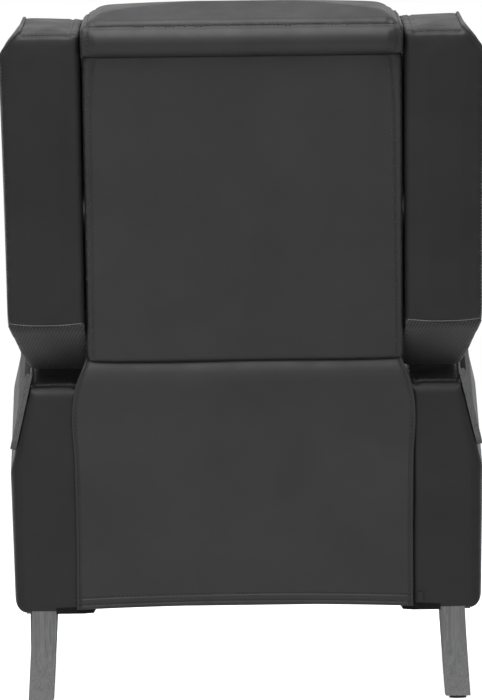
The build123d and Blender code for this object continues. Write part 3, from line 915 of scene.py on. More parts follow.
class SoftForm:
    """A stuffed form: remeshed, swollen by cloth pressure and held near its solid."""

    flat: float = 0.0003  # how far points may stand out of a face that holds
    mass: float = 0.3
    quality: int = 4
    even_share: float = 0.6  # weight of the neighbours when the lift is evened
    batch: int = 4000  # points that are held at a time
    hold_rounds: int = 3
    last_smooth: int = 2

    def __init__(self, name: str, nodes: Sequence[str], stuffing: Stuffing,
                 wrapped: bool = False) -> None:
        """Take the outer form of one or more solids.

        Args:
            name: the new piece's name.
            nodes: the solids.
            stuffing: how the form is grown.
            wrapped: whether to wrap the left side's points, which closes pockets for a frame.
        """
        self.stuffing = stuffing
        bm = bmesh.new()
        if wrapped:
            for node in nodes:
                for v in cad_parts[node].data.vertices:
                    if v.co.x > 0:
                        bm.verts.new(v.co)
            bmesh.ops.remove_doubles(bm, verts=bm.verts, dist=WELD)
            bmesh.ops.convex_hull(bm, input=bm.verts)
            bmesh.ops.delete(bm, geom=[v for v in bm.verts if not v.link_faces], context="VERTS")
        else:
            for node in nodes:
                bm.from_mesh(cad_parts[node].data)
            bmesh.ops.remove_doubles(bm, verts=bm.verts, dist=WELD)
        bmesh.ops.recalc_face_normals(bm, faces=bm.faces)
        self.normals = np.array([f.normal[:] for f in bm.faces])
        self.offsets = np.array([f.normal.dot(f.verts[0].co) for f in bm.faces])
        if wrapped:  # a sliver's normal can be off, so only faces with all points behind them hold
            points = np.array([v.co[:] for v in bm.verts])
            true = (points @ self.normals.T - self.offsets).max(axis=0) < self.flat
            self.normals, self.offsets = self.normals[true], self.offsets[true]
        self.piece = piece_from(name, bm)

    def grow(self) -> Object:
        """Remesh and swell the form.

        Returns:
            The piece, subdivided once.
        """
        stuffing, piece = self.stuffing, self.piece
        voxels = piece.modifiers.new("Voxels", "REMESH")
        voxels.mode, voxels.voxel_size = "VOXEL", stuffing.voxel
        self._smooth(stuffing.smooth)
        bake_modifiers(piece)
        mesh = piece.data
        set_coords(mesh, coords_of(mesh) - normals_of(mesh) * stuffing.shrink)
        self._swell()
        self._hold()
        self._smooth(self.last_smooth)
        finer = piece.modifiers.new("Finer", "SUBSURF")
        finer.levels = finer.render_levels = 1
        bake_modifiers(piece)
        smooth_shade(piece.data)
        return piece

    def _smooth(self, rounds: int) -> None:
        """Add a smoothing of some rounds."""
        ease = self.piece.modifiers.new("Ease", "SMOOTH")
        ease.factor, ease.iterations = 0.5, rounds

    def _swell(self) -> None:
        """Blow the form up with cloth pressure, and cap how far each point moves."""
        scene, piece, stuffing = bpy.context.scene, self.piece, self.stuffing
        start, normals = coords_of(piece.data), normals_of(piece.data)
        cloth = piece.modifiers.new("Stuffing", "CLOTH")
        cloth.settings.quality = self.quality
        cloth.settings.mass = self.mass
        cloth.settings.use_pressure = True
        cloth.settings.uniform_pressure_force = stuffing.pressure
        cloth.settings.effector_weights.gravity = 0.0
        cloth.point_cache.frame_start, cloth.point_cache.frame_end = 1, stuffing.frames
        for number in range(1, stuffing.frames + 1):
            scene.frame_set(number)
        bake_modifiers(piece)
        scene.frame_set(1)
        outward = ((coords_of(piece.data) - start) * normals).sum(axis=1)
        lift = self._evened(np.clip(outward, 0.0, stuffing.cap))
        set_coords(piece.data, start + normals * lift[:, None])

    def _evened(self, lift: np.ndarray, rounds: int = 30) -> np.ndarray:
        """Even out how far neighbouring points are lifted.

        Args:
            lift: distance that each point moves outwards.
            rounds: how often to average it with its neighbours.

        Returns:
            The evened distances.
        """
        mesh = self.piece.data
        ends = np.empty(len(mesh.edges) * 2, np.int32)
        mesh.edges.foreach_get("vertices", ends)
        a, b = ends[0::2], ends[1::2]
        count = np.bincount(a, minlength=len(lift)) + np.bincount(b, minlength=len(lift))
        for _ in range(rounds):
            near = np.bincount(a, lift[b], len(lift)) + np.bincount(b, lift[a], len(lift))
            lift = (1 - self.even_share) * lift + self.even_share * near / np.maximum(count, 1)
        return lift

    def _hold(self) -> None:
        """Press points that stand too proud of the solid back to it."""
        coords = coords_of(self.piece.data)
        for i in range(0, len(coords), self.batch):
            chunk = coords[i:i + self.batch]
            for _ in range(self.hold_rounds):
                out = chunk @ self.normals.T - self.offsets - self.stuffing.proud
                worst = out.argmax(axis=1)
                push = np.maximum(out[np.arange(len(chunk)), worst], 0.0)
                chunk -= self.normals[worst] * push[:, None]
            for at, normal in self.stuffing.stops:
                over = np.maximum((chunk - np.array(at)) @ np.array(normal), 0.0)
                chunk -= over[:, None] * np.array(normal)
        set_coords(self.piece.data, coords)


def upholster(piece: Object, seams: Sequence[Seam], material: Material) -> None:
    """Sink seams into a soft piece, with small puckers across them, and give it its finish.

    Args:
        piece: the soft piece.
        seams: its seams.
        material: the finish.
    """
    mesh = piece.data
    surface = surface_of(piece)
    coords, normals = coords_of(mesh), normals_of(mesh)
    for seam in seams:
        laid = [at for at, _ in Sewing.laid(seam.line, surface, SEAM_STEP)]
        tree = KDTree(len(laid))
        for i, p in enumerate(laid):
            tree.insert(p, i)
        tree.balance()
        reach = seam.width * SEAM_REACH
        low = np.min([p[:] for p in laid], axis=0) - reach
        high = np.max([p[:] for p in laid], axis=0) + reach
        near = np.nonzero(((coords > low) & (coords < high)).all(axis=1))[0]
        for k in near:
            _, index, away = tree.find(coords[k])
            if away < reach:
                sunk = 0.0
                if away < seam.width:
                    sunk = seam.depth * (0.5 + 0.5 * math.cos(math.pi * away / seam.width))
                fade = 1 - away / reach
                waves = math.sin(index * PUCKERS[0]) + math.sin(index * PUCKERS[1] + 1)
                sunk += seam.pucker * fade * waves
                coords[k] -= normals[k] * sunk
    set_coords(mesh, coords)
    mesh.materials.append(material)


@dataclass
class SubAssembly:
    """What every sub-assembly shares: the finishes, the sewing and its list of pieces."""

    finishes: Finishes
    sewing: Sewing = field(default_factory=Sewing)
    made: list[Object] = field(default_factory=list)

    def keep(self, piece: Object, body: str, slot: str, *replaced: str,
             fill: Optional[float] = None) -> None:
        """Put a piece on its body.

        Args:
            piece: the piece.
            body: the body that it rides on.
            slot: its material slot in the record; not used.
            replaced: solids that it stands for.
            fill: how full it is, for a padded piece; not used.
        """
        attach(piece, body)
        if replaced:
            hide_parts(*replaced)
        self.made.append(piece)

    def pair(self, left: Object, body: str, *replaced: str, fill: Optional[float] = None) -> None:
        """Put a left piece of leather and its mirrored twin on their body.

        Args:
            left: the left piece.
            body: the body that both ride on.
            replaced: solids that the left one stands for.
            fill: how full both are, for padded pieces.
        """
        right = mirrored(left)
        self.keep(left, body, LEATHER, *replaced, fill=fill)
        self.keep(right, body, LEATHER, *(n.replace("left", "right") for n in replaced), fill=fill)

    def sew(self, name: str, seams: Sequence[Seam], piece: Object, body: str) -> None:
        """Add a piece's stitches, riding with it."""
        rows = self.sewing.stitches(name, seams, piece, self.finishes.thread)
        self.keep(rows, body, LEATHER)


@dataclass
class Wings(SubAssembly):
    """The two padded wings with their twill undersides."""

    inner: float = 0.241
    boxing: float = 0.256
    outer_seam: float = 0.336
    welt: Span = (0.0031, 0.0012)  # the welt's radius and lift
    outer: float = 0.354
    inner_stop: float = 0.0012  # how far the inner face may stand in
    inner_round: float = 0.016
    inner_top: float = 0.7  # share of that rounding along the top
    outer_round: float = 0.009
    top_round: float = 0.020
    bulge: float = 0.0022
    skin: float = 0.001
    flat: float = 0.004  # depth of the inner face that is flattened
    cord: Span = (0.0009, 0.0002)  # the hem cord's radius and lift
    crest: tuple[Span, ...] = ((-0.190, 0.508), (0.0, 0.502))
    rim: tuple[Span, ...] = (
        (-0.035, 0.324), (0.005, 0.339), (0.058, 0.354), (0.465, 0.358), (0.503, 0.330))
    twill_top: float = 0.5690
    twill_dip: float = 0.0040
    bevel: tuple[Span, Span] = ((0.0, 0.054), (-0.095, -0.028))
    bevel_depth: float = 0.016
    twill_thick: float = 0.0006
    twill_lift: float = 0.3  # share of its thickness that it stands off the wing
    twill_facing: float = 0.30  # how squarely its faces lie on the bevel
    hem_place: Span = (0.001, 0.055)  # out from the back and up it
    hem_inset: Span = (0.003, 0.002)  # from the inner and outer side
    hem_lift: float = 0.001
    hem_points: int = 12
    front: tuple[Span, ...] = (
        (-0.004, 0.497), (-0.10, 0.503), (-0.186, 0.503), (-0.206, 0.47), (-0.215, 0.42),
        (-0.235, 0.20), (-0.215, -0.02))
    top_seam: tuple[Point, ...] = tuple((x, -0.006, 0.4945) for x in (0.256, 0.29, 0.324))
    edge_seam: tuple[Point, ...] = tuple((0.352, -0.003, s) for s in (0.452, 0.25, 0.075))
    welt_path: tuple[Point, ...] = (
        (0.331, -0.185, 0.505), (0.331, -0.10, 0.505), (0.331, -0.03, 0.505),
        (0.333, -0.014, 0.501), (0.345, -0.010, 0.484), (0.355, -0.010, 0.467),
        (0.358, -0.010, 0.458))  # along the top's outer edge, then down the rear bevel

    def build(self) -> None:
        """Build both wings."""
        left = SoftForm("wing_left", ["wing_pad_left", "wing_undersides"], Stuffing(
            voxel=0.0052, cap=0.009, shrink=0.0008, proud=0.0030, smooth=2,
            stops=[wall((-1, 0, 0), self.inner - self.inner_stop)]), wrapped=True).grow()
        self._shape(left)
        seams, sewing, finishes = self.seams(), self.sewing, self.finishes
        # The wing takes the darker copy of the leather, which is painted shade.
        upholster(left, seams, finishes.shaded_leather)
        rows = sewing.stitches("wing_stitching_left", seams, left, finishes.thread)
        hem = sewing.cords("wing_hem_cord_left", [(self.hem_line(), *self.cord)], left,
                           finishes.pale_thread)
        welt = sewing.cords("wing_welt_left", [(back_line(self.welt_path), *self.welt)], left,
                            finishes.leather)
        twill = self.twill(left)
        self.pair(left, "back", "wing_pad_left", fill=0.8)
        self.keep(twill, "back", "black_twill", "wing_undersides", fill=0.5)
        for piece in (rows, welt, hem):
            self.pair(piece, "back")

    def _shape(self, wing: Object) -> None:
        """Flatten the inner face over the frame, and round the rear and top edges.

        Args:
            wing: the grown left wing.
        """
        coords = coords_of(wing.data)
        x = coords[:, 0]
        flat = x < self.inner + self.flat
        x[flat] = np.minimum(x[flat], self.inner - self.skin)
        n, s = back_offsets(coords)
        rim = np.interp(s, *zip(*self.rim))
        inward, forward = round_corner(x - self.inner + self.skin, self.bulge - n, self.inner_round)
        x += inward
        push_rearward(coords, -forward)
        n, _ = back_offsets(coords)
        inward, forward = round_corner(rim + self.skin - x, self.bulge - n, self.outer_round)
        x -= inward
        push_rearward(coords, -forward)
        n, s = back_offsets(coords)
        crest = np.interp(n, *zip(*self.crest))
        forward, down = round_corner(self.bulge - n, crest - s, self.top_round)
        push_rearward(coords, -forward)
        push_upward(coords, -down)
        n, s = back_offsets(coords)
        crest = np.interp(n, *zip(*self.crest))
        inward, down = round_corner(x - self.inner + self.skin, crest - s,
                                    self.inner_round * self.inner_top)
        x += inward
        push_upward(coords, -down)
        set_coords(wing.data, coords)

    def hem_line(self) -> Path:
        """Draw the line where the leather meets the twill.

        Returns:
            The line, near the wing's surface.
        """
        rear = back_point(0, *self.hem_place).y
        low, high = self.inner + self.hem_inset[0], self.outer - self.hem_inset[1]
        return [Vector((x, rear, self.twill_height(x) + self.hem_lift))
                for x in np.linspace(low, high, self.hem_points)]

    def seams(self) -> list[Seam]:
        """The left wing's seams.

        Returns:
            The rear top edge, the inner and outer boxing seams, the outer rear edge and the hem.
        """
        inner = [back_point(self.boxing, n, s) for n, s in self.front]
        outer = [back_point(self.outer_seam, n, s) for n, s in self.front[2:]]
        return [Seam(back_line(self.top_seam)), Seam(inner), Seam(outer),
                Seam(back_line(self.edge_seam), depth=0.0006, width=0.004),
                Seam(self.hem_line(), Edge.PLAIN, depth=0.0016)]

    def twill_height(self, x: float) -> float:
        """Height of the seam between leather and twill, which dips between the wing's sides."""
        share = (x - self.inner) / (self.outer - self.inner)
        return self.twill_top - self.twill_dip * math.sin(math.pi * min(max(share, 0.0), 1.0))

    def twill(self, wing: Object) -> Object:
        """Cut both twill undersides out of the wing's lower bevel.

        Args:
            wing: the finished left wing.

        Returns:
            The two panels as one piece.
        """
        (n0, s0), (n1, s1) = self.bevel
        origin = back_point(0, n0, s0)
        normal = (back_point(0, n0 + s0 - s1, s0 - n0 + n1) - origin).normalized()
        bm = bmesh.new()
        bm.from_mesh(wing.data)
        drop = []
        for face in bm.faces:
            centre = face.calc_center_median()
            if (face.normal.dot(normal) < self.twill_facing
                    or centre.z > self.twill_height(centre.x)
                    or (centre - origin).dot(normal) < -self.bevel_depth):
                drop.append(face)
        bmesh.ops.delete(bm, geom=drop, context="FACES")
        lift = self.twill_thick
        for v in bm.verts:
            v.co += v.normal * lift * self.twill_lift
        piece = piece_from("wing_twill", bm)
        shell = piece.modifiers.new("Shell", "SOLIDIFY")
        shell.thickness, shell.offset = lift, 1.0
        both = piece.modifiers.new("Both", "MIRROR")
        both.use_axis[0] = True
        both.use_mirror_merge = False
        bake_modifiers(piece)
        smooth_shade(piece.data)
        piece.data.materials.append(self.finishes.twill)
        return piece


@dataclass
class Arms(SubAssembly):
    """The two padded arms."""

    rear: float = 0.290
    front: float = -0.415
    inner: float = 0.245
    low: float = 0.143
    boxing: float = 0.258
    piping: Span = (0.0030, 0.0008)  # the piping's radius and lift
    outer: Point = (0.3545, 0.026, 2.6)  # reach, lean and flare
    trim: Point = (0.347, -0.23, 5.2)
    trim_foot: float = 0.380
    draw_down: float = 0.0085
    low_round: float = 0.020
    top_round: float = 0.026
    rear_rounds: Span = (0.006, 0.016)  # at foot and top
    rear_heights: Span = (0.18, 0.30)
    overhang: float = 0.0016
    overhang_box: Span = (0.020, 0.025)  # its depth and height
    draw_height: float = 0.05
    skin: float = 0.0006
    rear_skin: float = 0.0001
    side_skin: float = 0.002
    top_skin: float = 0.001
    top_line: Point = (0.496, 0.2, 0.200)  # a height, the fall to the rear, and the height's place
    top_spots: tuple[float, ...] = (0.252, 0.285, 0.316)  # across the rear top seam
    edge_spots: tuple[float, ...] = (0.352, 0.25, 0.165)  # down the outer rear edge
    pipe_spots: tuple[float, ...] = (0.585, 0.53, 0.475, 0.40, 0.30, 0.20, 0.165)  # down the front

    def top(self, y: Number) -> Number:
        """Height of the arm's top line."""
        height, fall, place = self.top_line
        return height + fall * (place - y)

    def face(self, shape: Point, y: Number, z: Number) -> Number:
        """Distance out to a side face.

        Args:
            shape: the face's reach, lean and flare.
            y: place along the arm, in the drawing.
            z: height.

        Returns:
            The distance.
        """
        reach, lean, flare = shape
        return (reach + lean * (z - self.trim_foot)
                - math.tan(math.radians(flare)) * (y - self.rear))

    def build(self) -> None:
        """Build both arms."""
        reach, lean, flare = self.trim
        out = Vector((1, math.tan(math.radians(flare)), -lean)).normalized()
        stops = [(drawn(0, self.rear + self.rear_skin, 0), Vector((0, 1, 0))),
                 wall((-1, 0, 0), self.inner - self.skin), wall((0, 0, -1), self.low),
                 (drawn(reach, self.rear, self.trim_foot) + out * self.skin, out)]
        left = SoftForm("arm_left", ["arm_pad_left"], Stuffing(
            cap=0.008, shrink=0.0006, proud=0.0020, smooth=2, stops=stops), wrapped=True).grow()
        self._shape(left)
        seams = self.seams()
        # The arm takes the darker copy of the leather, which is painted shade.
        upholster(left, seams, self.finishes.shaded_leather)
        rows = self.sewing.stitches("arm_stitching_left", seams, left, self.finishes.thread)
        cords = self.sewing.cords("arm_piping_left", [(self.piping_line(), *self.piping)], left,
                                  self.finishes.leather)
        self.pair(left, "base", "arm_pad_left", fill=0.85)
        for piece in (rows, cords):
            self.pair(piece, "base")

    def _shape(self, arm: Object) -> None:
        """Draw the leather down over the board, and round the lower, top and inner rear edges.

        Args:
            arm: the grown left arm.
        """
        coords = coords_of(arm.data)
        x, y, z = coords[:, 0], coords[:, 1], coords[:, 2]
        side = self.face(self.outer, y - SHIFT_Y, z) + self.side_skin
        inward, upward = round_corner(side - x, z - self.low, self.low_round)
        x -= inward
        z += upward
        rear = self.rear + SHIFT_Y + self.rear_skin
        top = self.top(y - SHIFT_Y) + self.top_skin
        forward, down = round_corner(rear - y, top - z, self.top_round)
        y -= forward
        z -= down
        radius = np.interp(z, self.rear_heights, self.rear_rounds)
        inward, forward = round_corner(x - self.inner, rear - y, radius)
        x += inward
        y -= forward
        deep, high = self.overhang_box
        y += self.overhang * np.clip(1 - (z - self.low) / high, 0.0, 1.0) * (y > rear - deep)
        z -= self.draw_down * np.clip(1 - (z - self.low) / self.draw_height, 0.0, 1.0)
        set_coords(arm.data, coords)

    def seams(self) -> list[Seam]:
        """The left arm's seams.

        Returns:
            The rear top edge, the inner boxing seam and the outer rear edge.
        """
        y0, y1 = self.rear, self.front
        top = [drawn(x, y0 - 0.0125, self.top(y0) - 0.001) for x in self.top_spots]
        inner = [drawn(self.boxing, y, self.top(y)) for y in (y0 - 0.004, 0.05, -0.2, y1 + 0.008)]
        inner += [drawn(self.boxing, y1, z) for z in (self.top(y1) - 0.012, 0.40, 0.165)]
        edge = [drawn(0.342, y0 - 0.001, z) for z in self.edge_spots]
        return [Seam(top), Seam(inner), Seam(edge, Edge.PLAIN, depth=0.0008, width=0.004)]

    def piping_line(self) -> Path:
        """Draw the piping.

        Returns:
            The line along the top's outer edge and down the front.
        """
        line = [drawn(self.face(self.trim, y, self.top(y)) - 0.002, y, self.top(y) - 0.001)
                for y in (self.rear - 0.006, 0.1, -0.1, -0.3, self.front + 0.010)]
        for z in self.pipe_spots:
            side = min(self.face(shape, self.front, z) for shape in (self.trim, self.outer))
            line.append(drawn(side - 0.003, self.front + 0.003, z))
        return line


@dataclass
class HeadRoll(SubAssembly):
    """The rolled crown on top of the back."""

    half: float = 0.236
    foot: float = 0.4655
    reach: float = 0.2392
    band: Span = (0.466, 0.507)
    bulge: float = 0.0090
    fullness: float = 0.8  # power of the bulge's sine, below 1 for a fuller one
    drop: float = 0.0025
    end_seam: float = 0.229
    end_gap: float = 0.011  # between the two seams of an end
    end_tops: Span = (0.510, 0.515)  # heights that the two keep below
    end_fade: float = 0.02  # distance over which the band's bulge fades at each end
    band_depth: float = 0.035
    long_seams: tuple[Span, ...] = ((-0.005, 0.506), (-0.150, 0.512))
    spots: tuple[float, ...] = (-0.226, -0.12, 0.0, 0.12, 0.226)  # across the long seams
    profile: tuple[Span, ...] = (
        (0.001, 0.470), (0.005, 0.488), (-0.006, 0.507), (-0.040, 0.527), (-0.095, 0.531),
        (-0.150, 0.512), (-0.171, 0.475))

    def build(self) -> None:
        """Build the crown with its seams."""
        roll = SoftForm("crown", ["head_roll"], Stuffing(
            cap=0.012, shrink=0.0, proud=0.0040, smooth=2, stops=[
                (back_point(0, 0, self.foot), -BACK_UP), wall((1, 0, 0), self.half),
                wall((-1, 0, 0), -self.half)])).grow()
        self._fill_band(roll)
        seams = self.seams()
        upholster(roll, seams, self.finishes.leather)
        self.keep(roll, "back", LEATHER, "head_roll", fill=0.8)
        self.sew("crown_stitching", seams, roll, "back")

    def _fill_band(self, roll: Object) -> None:
        """Widen the crown up to the wings, and bulge its rear band.

        Args:
            roll: the grown crown.
        """
        coords = widened(roll, self.reach)
        n, s = back_offsets(coords)
        share = np.clip((s - self.band[0]) / (self.band[1] - self.band[0]), 0.0, 1.0)
        side = np.clip((self.half - np.abs(coords[:, 0])) / self.end_fade, 0.0, 1.0)
        side *= n > -self.band_depth
        push_rearward(coords, self.bulge * np.sin(math.pi * share) ** self.fullness * side)
        push_upward(coords, -self.drop * np.clip(1 - share * 2, 0.0, 1.0))
        set_coords(roll.data, coords)

    def seams(self) -> list[Seam]:
        """The crown's seams.

        Returns:
            The long rear seam, a front one, and two round each end.
        """
        found = [Seam([back_point(x, n, s) for x in self.spots])
                 for n, s in self.long_seams]
        low, high = self.end_tops
        for sign in (-1, 1):
            ring = [back_point(sign * self.end_seam, n, min(s, low)) for n, s in self.profile]
            found.append(Seam(ring))
            over = [back_point(sign * (self.end_seam - self.end_gap), n, min(s, high))
                    for n, s in self.profile[2:6]]
            found.append(Seam(over, Edge.PLAIN, depth=0.0009, width=0.004))
        return found


@dataclass
class BackPanel(SubAssembly):
    """The padded panel on the outside of the back."""

    seam: tuple[Span, ...] = (
        (0.2225, 0.458), (0.2285, 0.380), (0.2300, 0.200), (0.2320, 0.008))
    reach: float = 0.2378
    rise: float = 0.0030
    rise_from: float = 0.03  # distance below the top edge at which the rise starts
    high: float = 0.465
    top_gap: float = 0.0003
    inner: float = -0.022  # its inner face, from the back's rear face
    seam_out: float = 0.004

    def build(self) -> None:
        """Build the panel with its two upright seams."""
        panel = SoftForm("back_panel", ["outer_back_panel"], Stuffing(
            voxel=0.0045, cap=0.006, shrink=0.0005, proud=0.0020, smooth=2, stops=[
                (back_point(0, 0, self.high - self.top_gap), BACK_UP),
                (back_point(0, self.inner, 0), back_point(0, -1, 0) - back_point(0, 0, 0))
            ])).grow()
        coords = widened(panel, self.reach)
        _, s = back_offsets(coords)
        near_top = (s - self.high + self.rise_from) / self.rise_from
        push_upward(coords, self.rise * np.clip(near_top, 0.0, 1.0))
        set_coords(panel.data, coords)
        seams = [Seam([back_point(sign * x, self.seam_out, s) for x, s in self.seam], depth=0.0022)
                 for sign in (-1, 1)]
        upholster(panel, seams, self.finishes.leather)
        self.keep(panel, "back", LEATHER, "outer_back_panel", fill=0.7)
        self.sew("back_panel_stitching", seams, panel, "back")


@dataclass
class Cushions(SubAssembly):
    """The seat, lumbar, upper back and footrest cushions."""

    cord: Span = (0.0034, 0.0004)  # the piping's radius and lift
    lumbar: Span = (-0.100, 0.214)  # a back cushion's ends, up the back
    upper: Span = (0.217, 0.463)
    end_gap: float = 0.0008
    rear: float = -0.064
    reach: float = 0.2394  # half width of the back cushions, up to the wings
    seat_half: float = 0.2405
    inset: float = 0.014
    corner: float = 0.034
    back_half: float = 0.232
    rings: Span = (-0.148, -0.080)  # depths of a back cushion's two rings
    groove: Span = (0.0022, 0.008)  # depth and width under the piping
    seat_rings: Span = (0.030, 0.020)  # below the seat's top and above its foot
    pad_inset: float = 0.010
    pad_corner: float = 0.022
    pad_ring: float = 0.012  # behind the footrest pad's face
    pad_groove: Span = (0.0018, 0.007)

    def build(self) -> None:
        """Build each cushion with piping round its edges."""
        self._seat()
        self._back("lumbar_pillow", "lumbar_cushion", *self.lumbar)
        self._back("upper_pillow", "upper_back_cushion", *self.upper)
        self._footrest()

    @staticmethod
    def _plump(stops: Sequence[Stop]) -> Stuffing:
        """The stuffing of a thick cushion."""
        return Stuffing(voxel=0.0075, cap=0.022, shrink=0.003, proud=0.0050, pressure=5.5,
                        stops=stops)

    def _seat(self) -> None:
        """The seat cushion, boxed, with piping above and below."""
        low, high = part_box("seat_cushion")
        piece = SoftForm("seat_pillow", ["seat_cushion"], self._plump([
            wall((0, 0, -1), low.z), wall((1, 0, 0), self.seat_half),
            wall((-1, 0, 0), -self.seat_half)])).grow()
        middle = (low + high) / 2
        rings = [rounded_ring(high.x - self.inset, (high.y - low.y) / 2 - self.inset, self.corner,
                              lambda u, v, z=z: Vector((u, middle.y + v, z)))
                 for z in (high.z - self.seat_rings[0], low.z + self.seat_rings[1])]
        self._finish(piece, "seat_cushion", "seat", rings, self.groove)

    def _back(self, name: str, node: str, low: float, high: float) -> None:
        """One back cushion, with piping round its face and its rear edge.

        Args:
            name: the new piece's name.
            node: the solid that it stands for.
            low: its lower end up the back.
            high: its upper end.
        """
        piece = SoftForm(name, [node], self._plump([
            (back_point(0, self.rear, 0), BACK_REAR),
            (back_point(0, 0, high + self.end_gap), BACK_UP),
            (back_point(0, 0, low - self.end_gap), -BACK_UP)])).grow()
        set_coords(piece.data, widened(piece, self.reach))
        middle, half = (low + high) / 2, (high - low) / 2 - self.inset
        rings = [rounded_ring(self.back_half - self.inset, half, self.corner,
                              lambda u, v, n=n: back_point(u, n, middle + v))
                 for n in self.rings]
        self._finish(piece, node, "back", rings, self.groove)

    def _footrest(self) -> None:
        """The footrest pad, with piping round its face."""
        low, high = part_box("footrest_pad")
        piece = SoftForm("footrest_pillow", ["footrest_pad"], Stuffing(
            voxel=0.0050, cap=0.010, shrink=0.003, proud=0.0015, stops=[
                wall((0, 1, 0), high.y), wall((0, 0, 1), high.z + 0.0010)])).grow()
        middle = (low.z + high.z) / 2
        ring = rounded_ring(high.x - self.pad_inset, (high.z - low.z) / 2 - self.pad_inset,
                            self.pad_corner,
                            lambda u, v: Vector((u, low.y + self.pad_ring, middle + v)))
        self._finish(piece, "footrest_pad", "footrest", [ring], self.pad_groove)

    def _finish(self, piece: Object, node: str, body: str, rings: Sequence[Path],
                groove: Span) -> None:
        """Sew, pipe and place one cushion.

        Args:
            piece: the cushion.
            node: the solid that it stands for.
            body: the body that it rides on.
            rings: the lines of its piping.
            groove: depth and width of the grooves that the piping lies in.
        """
        upholster(piece, [Seam(ring, Edge.PIPED, *groove) for ring in rings], self.finishes.leather)
        self.keep(piece, body, LEATHER, node, fill=0.75)
        cords = self.sewing.cords(piece.name + "_piping",
                                  [(ring, *self.cord) for ring in rings], piece,
                                  self.finishes.leather)
        self.keep(cords, body, LEATHER)


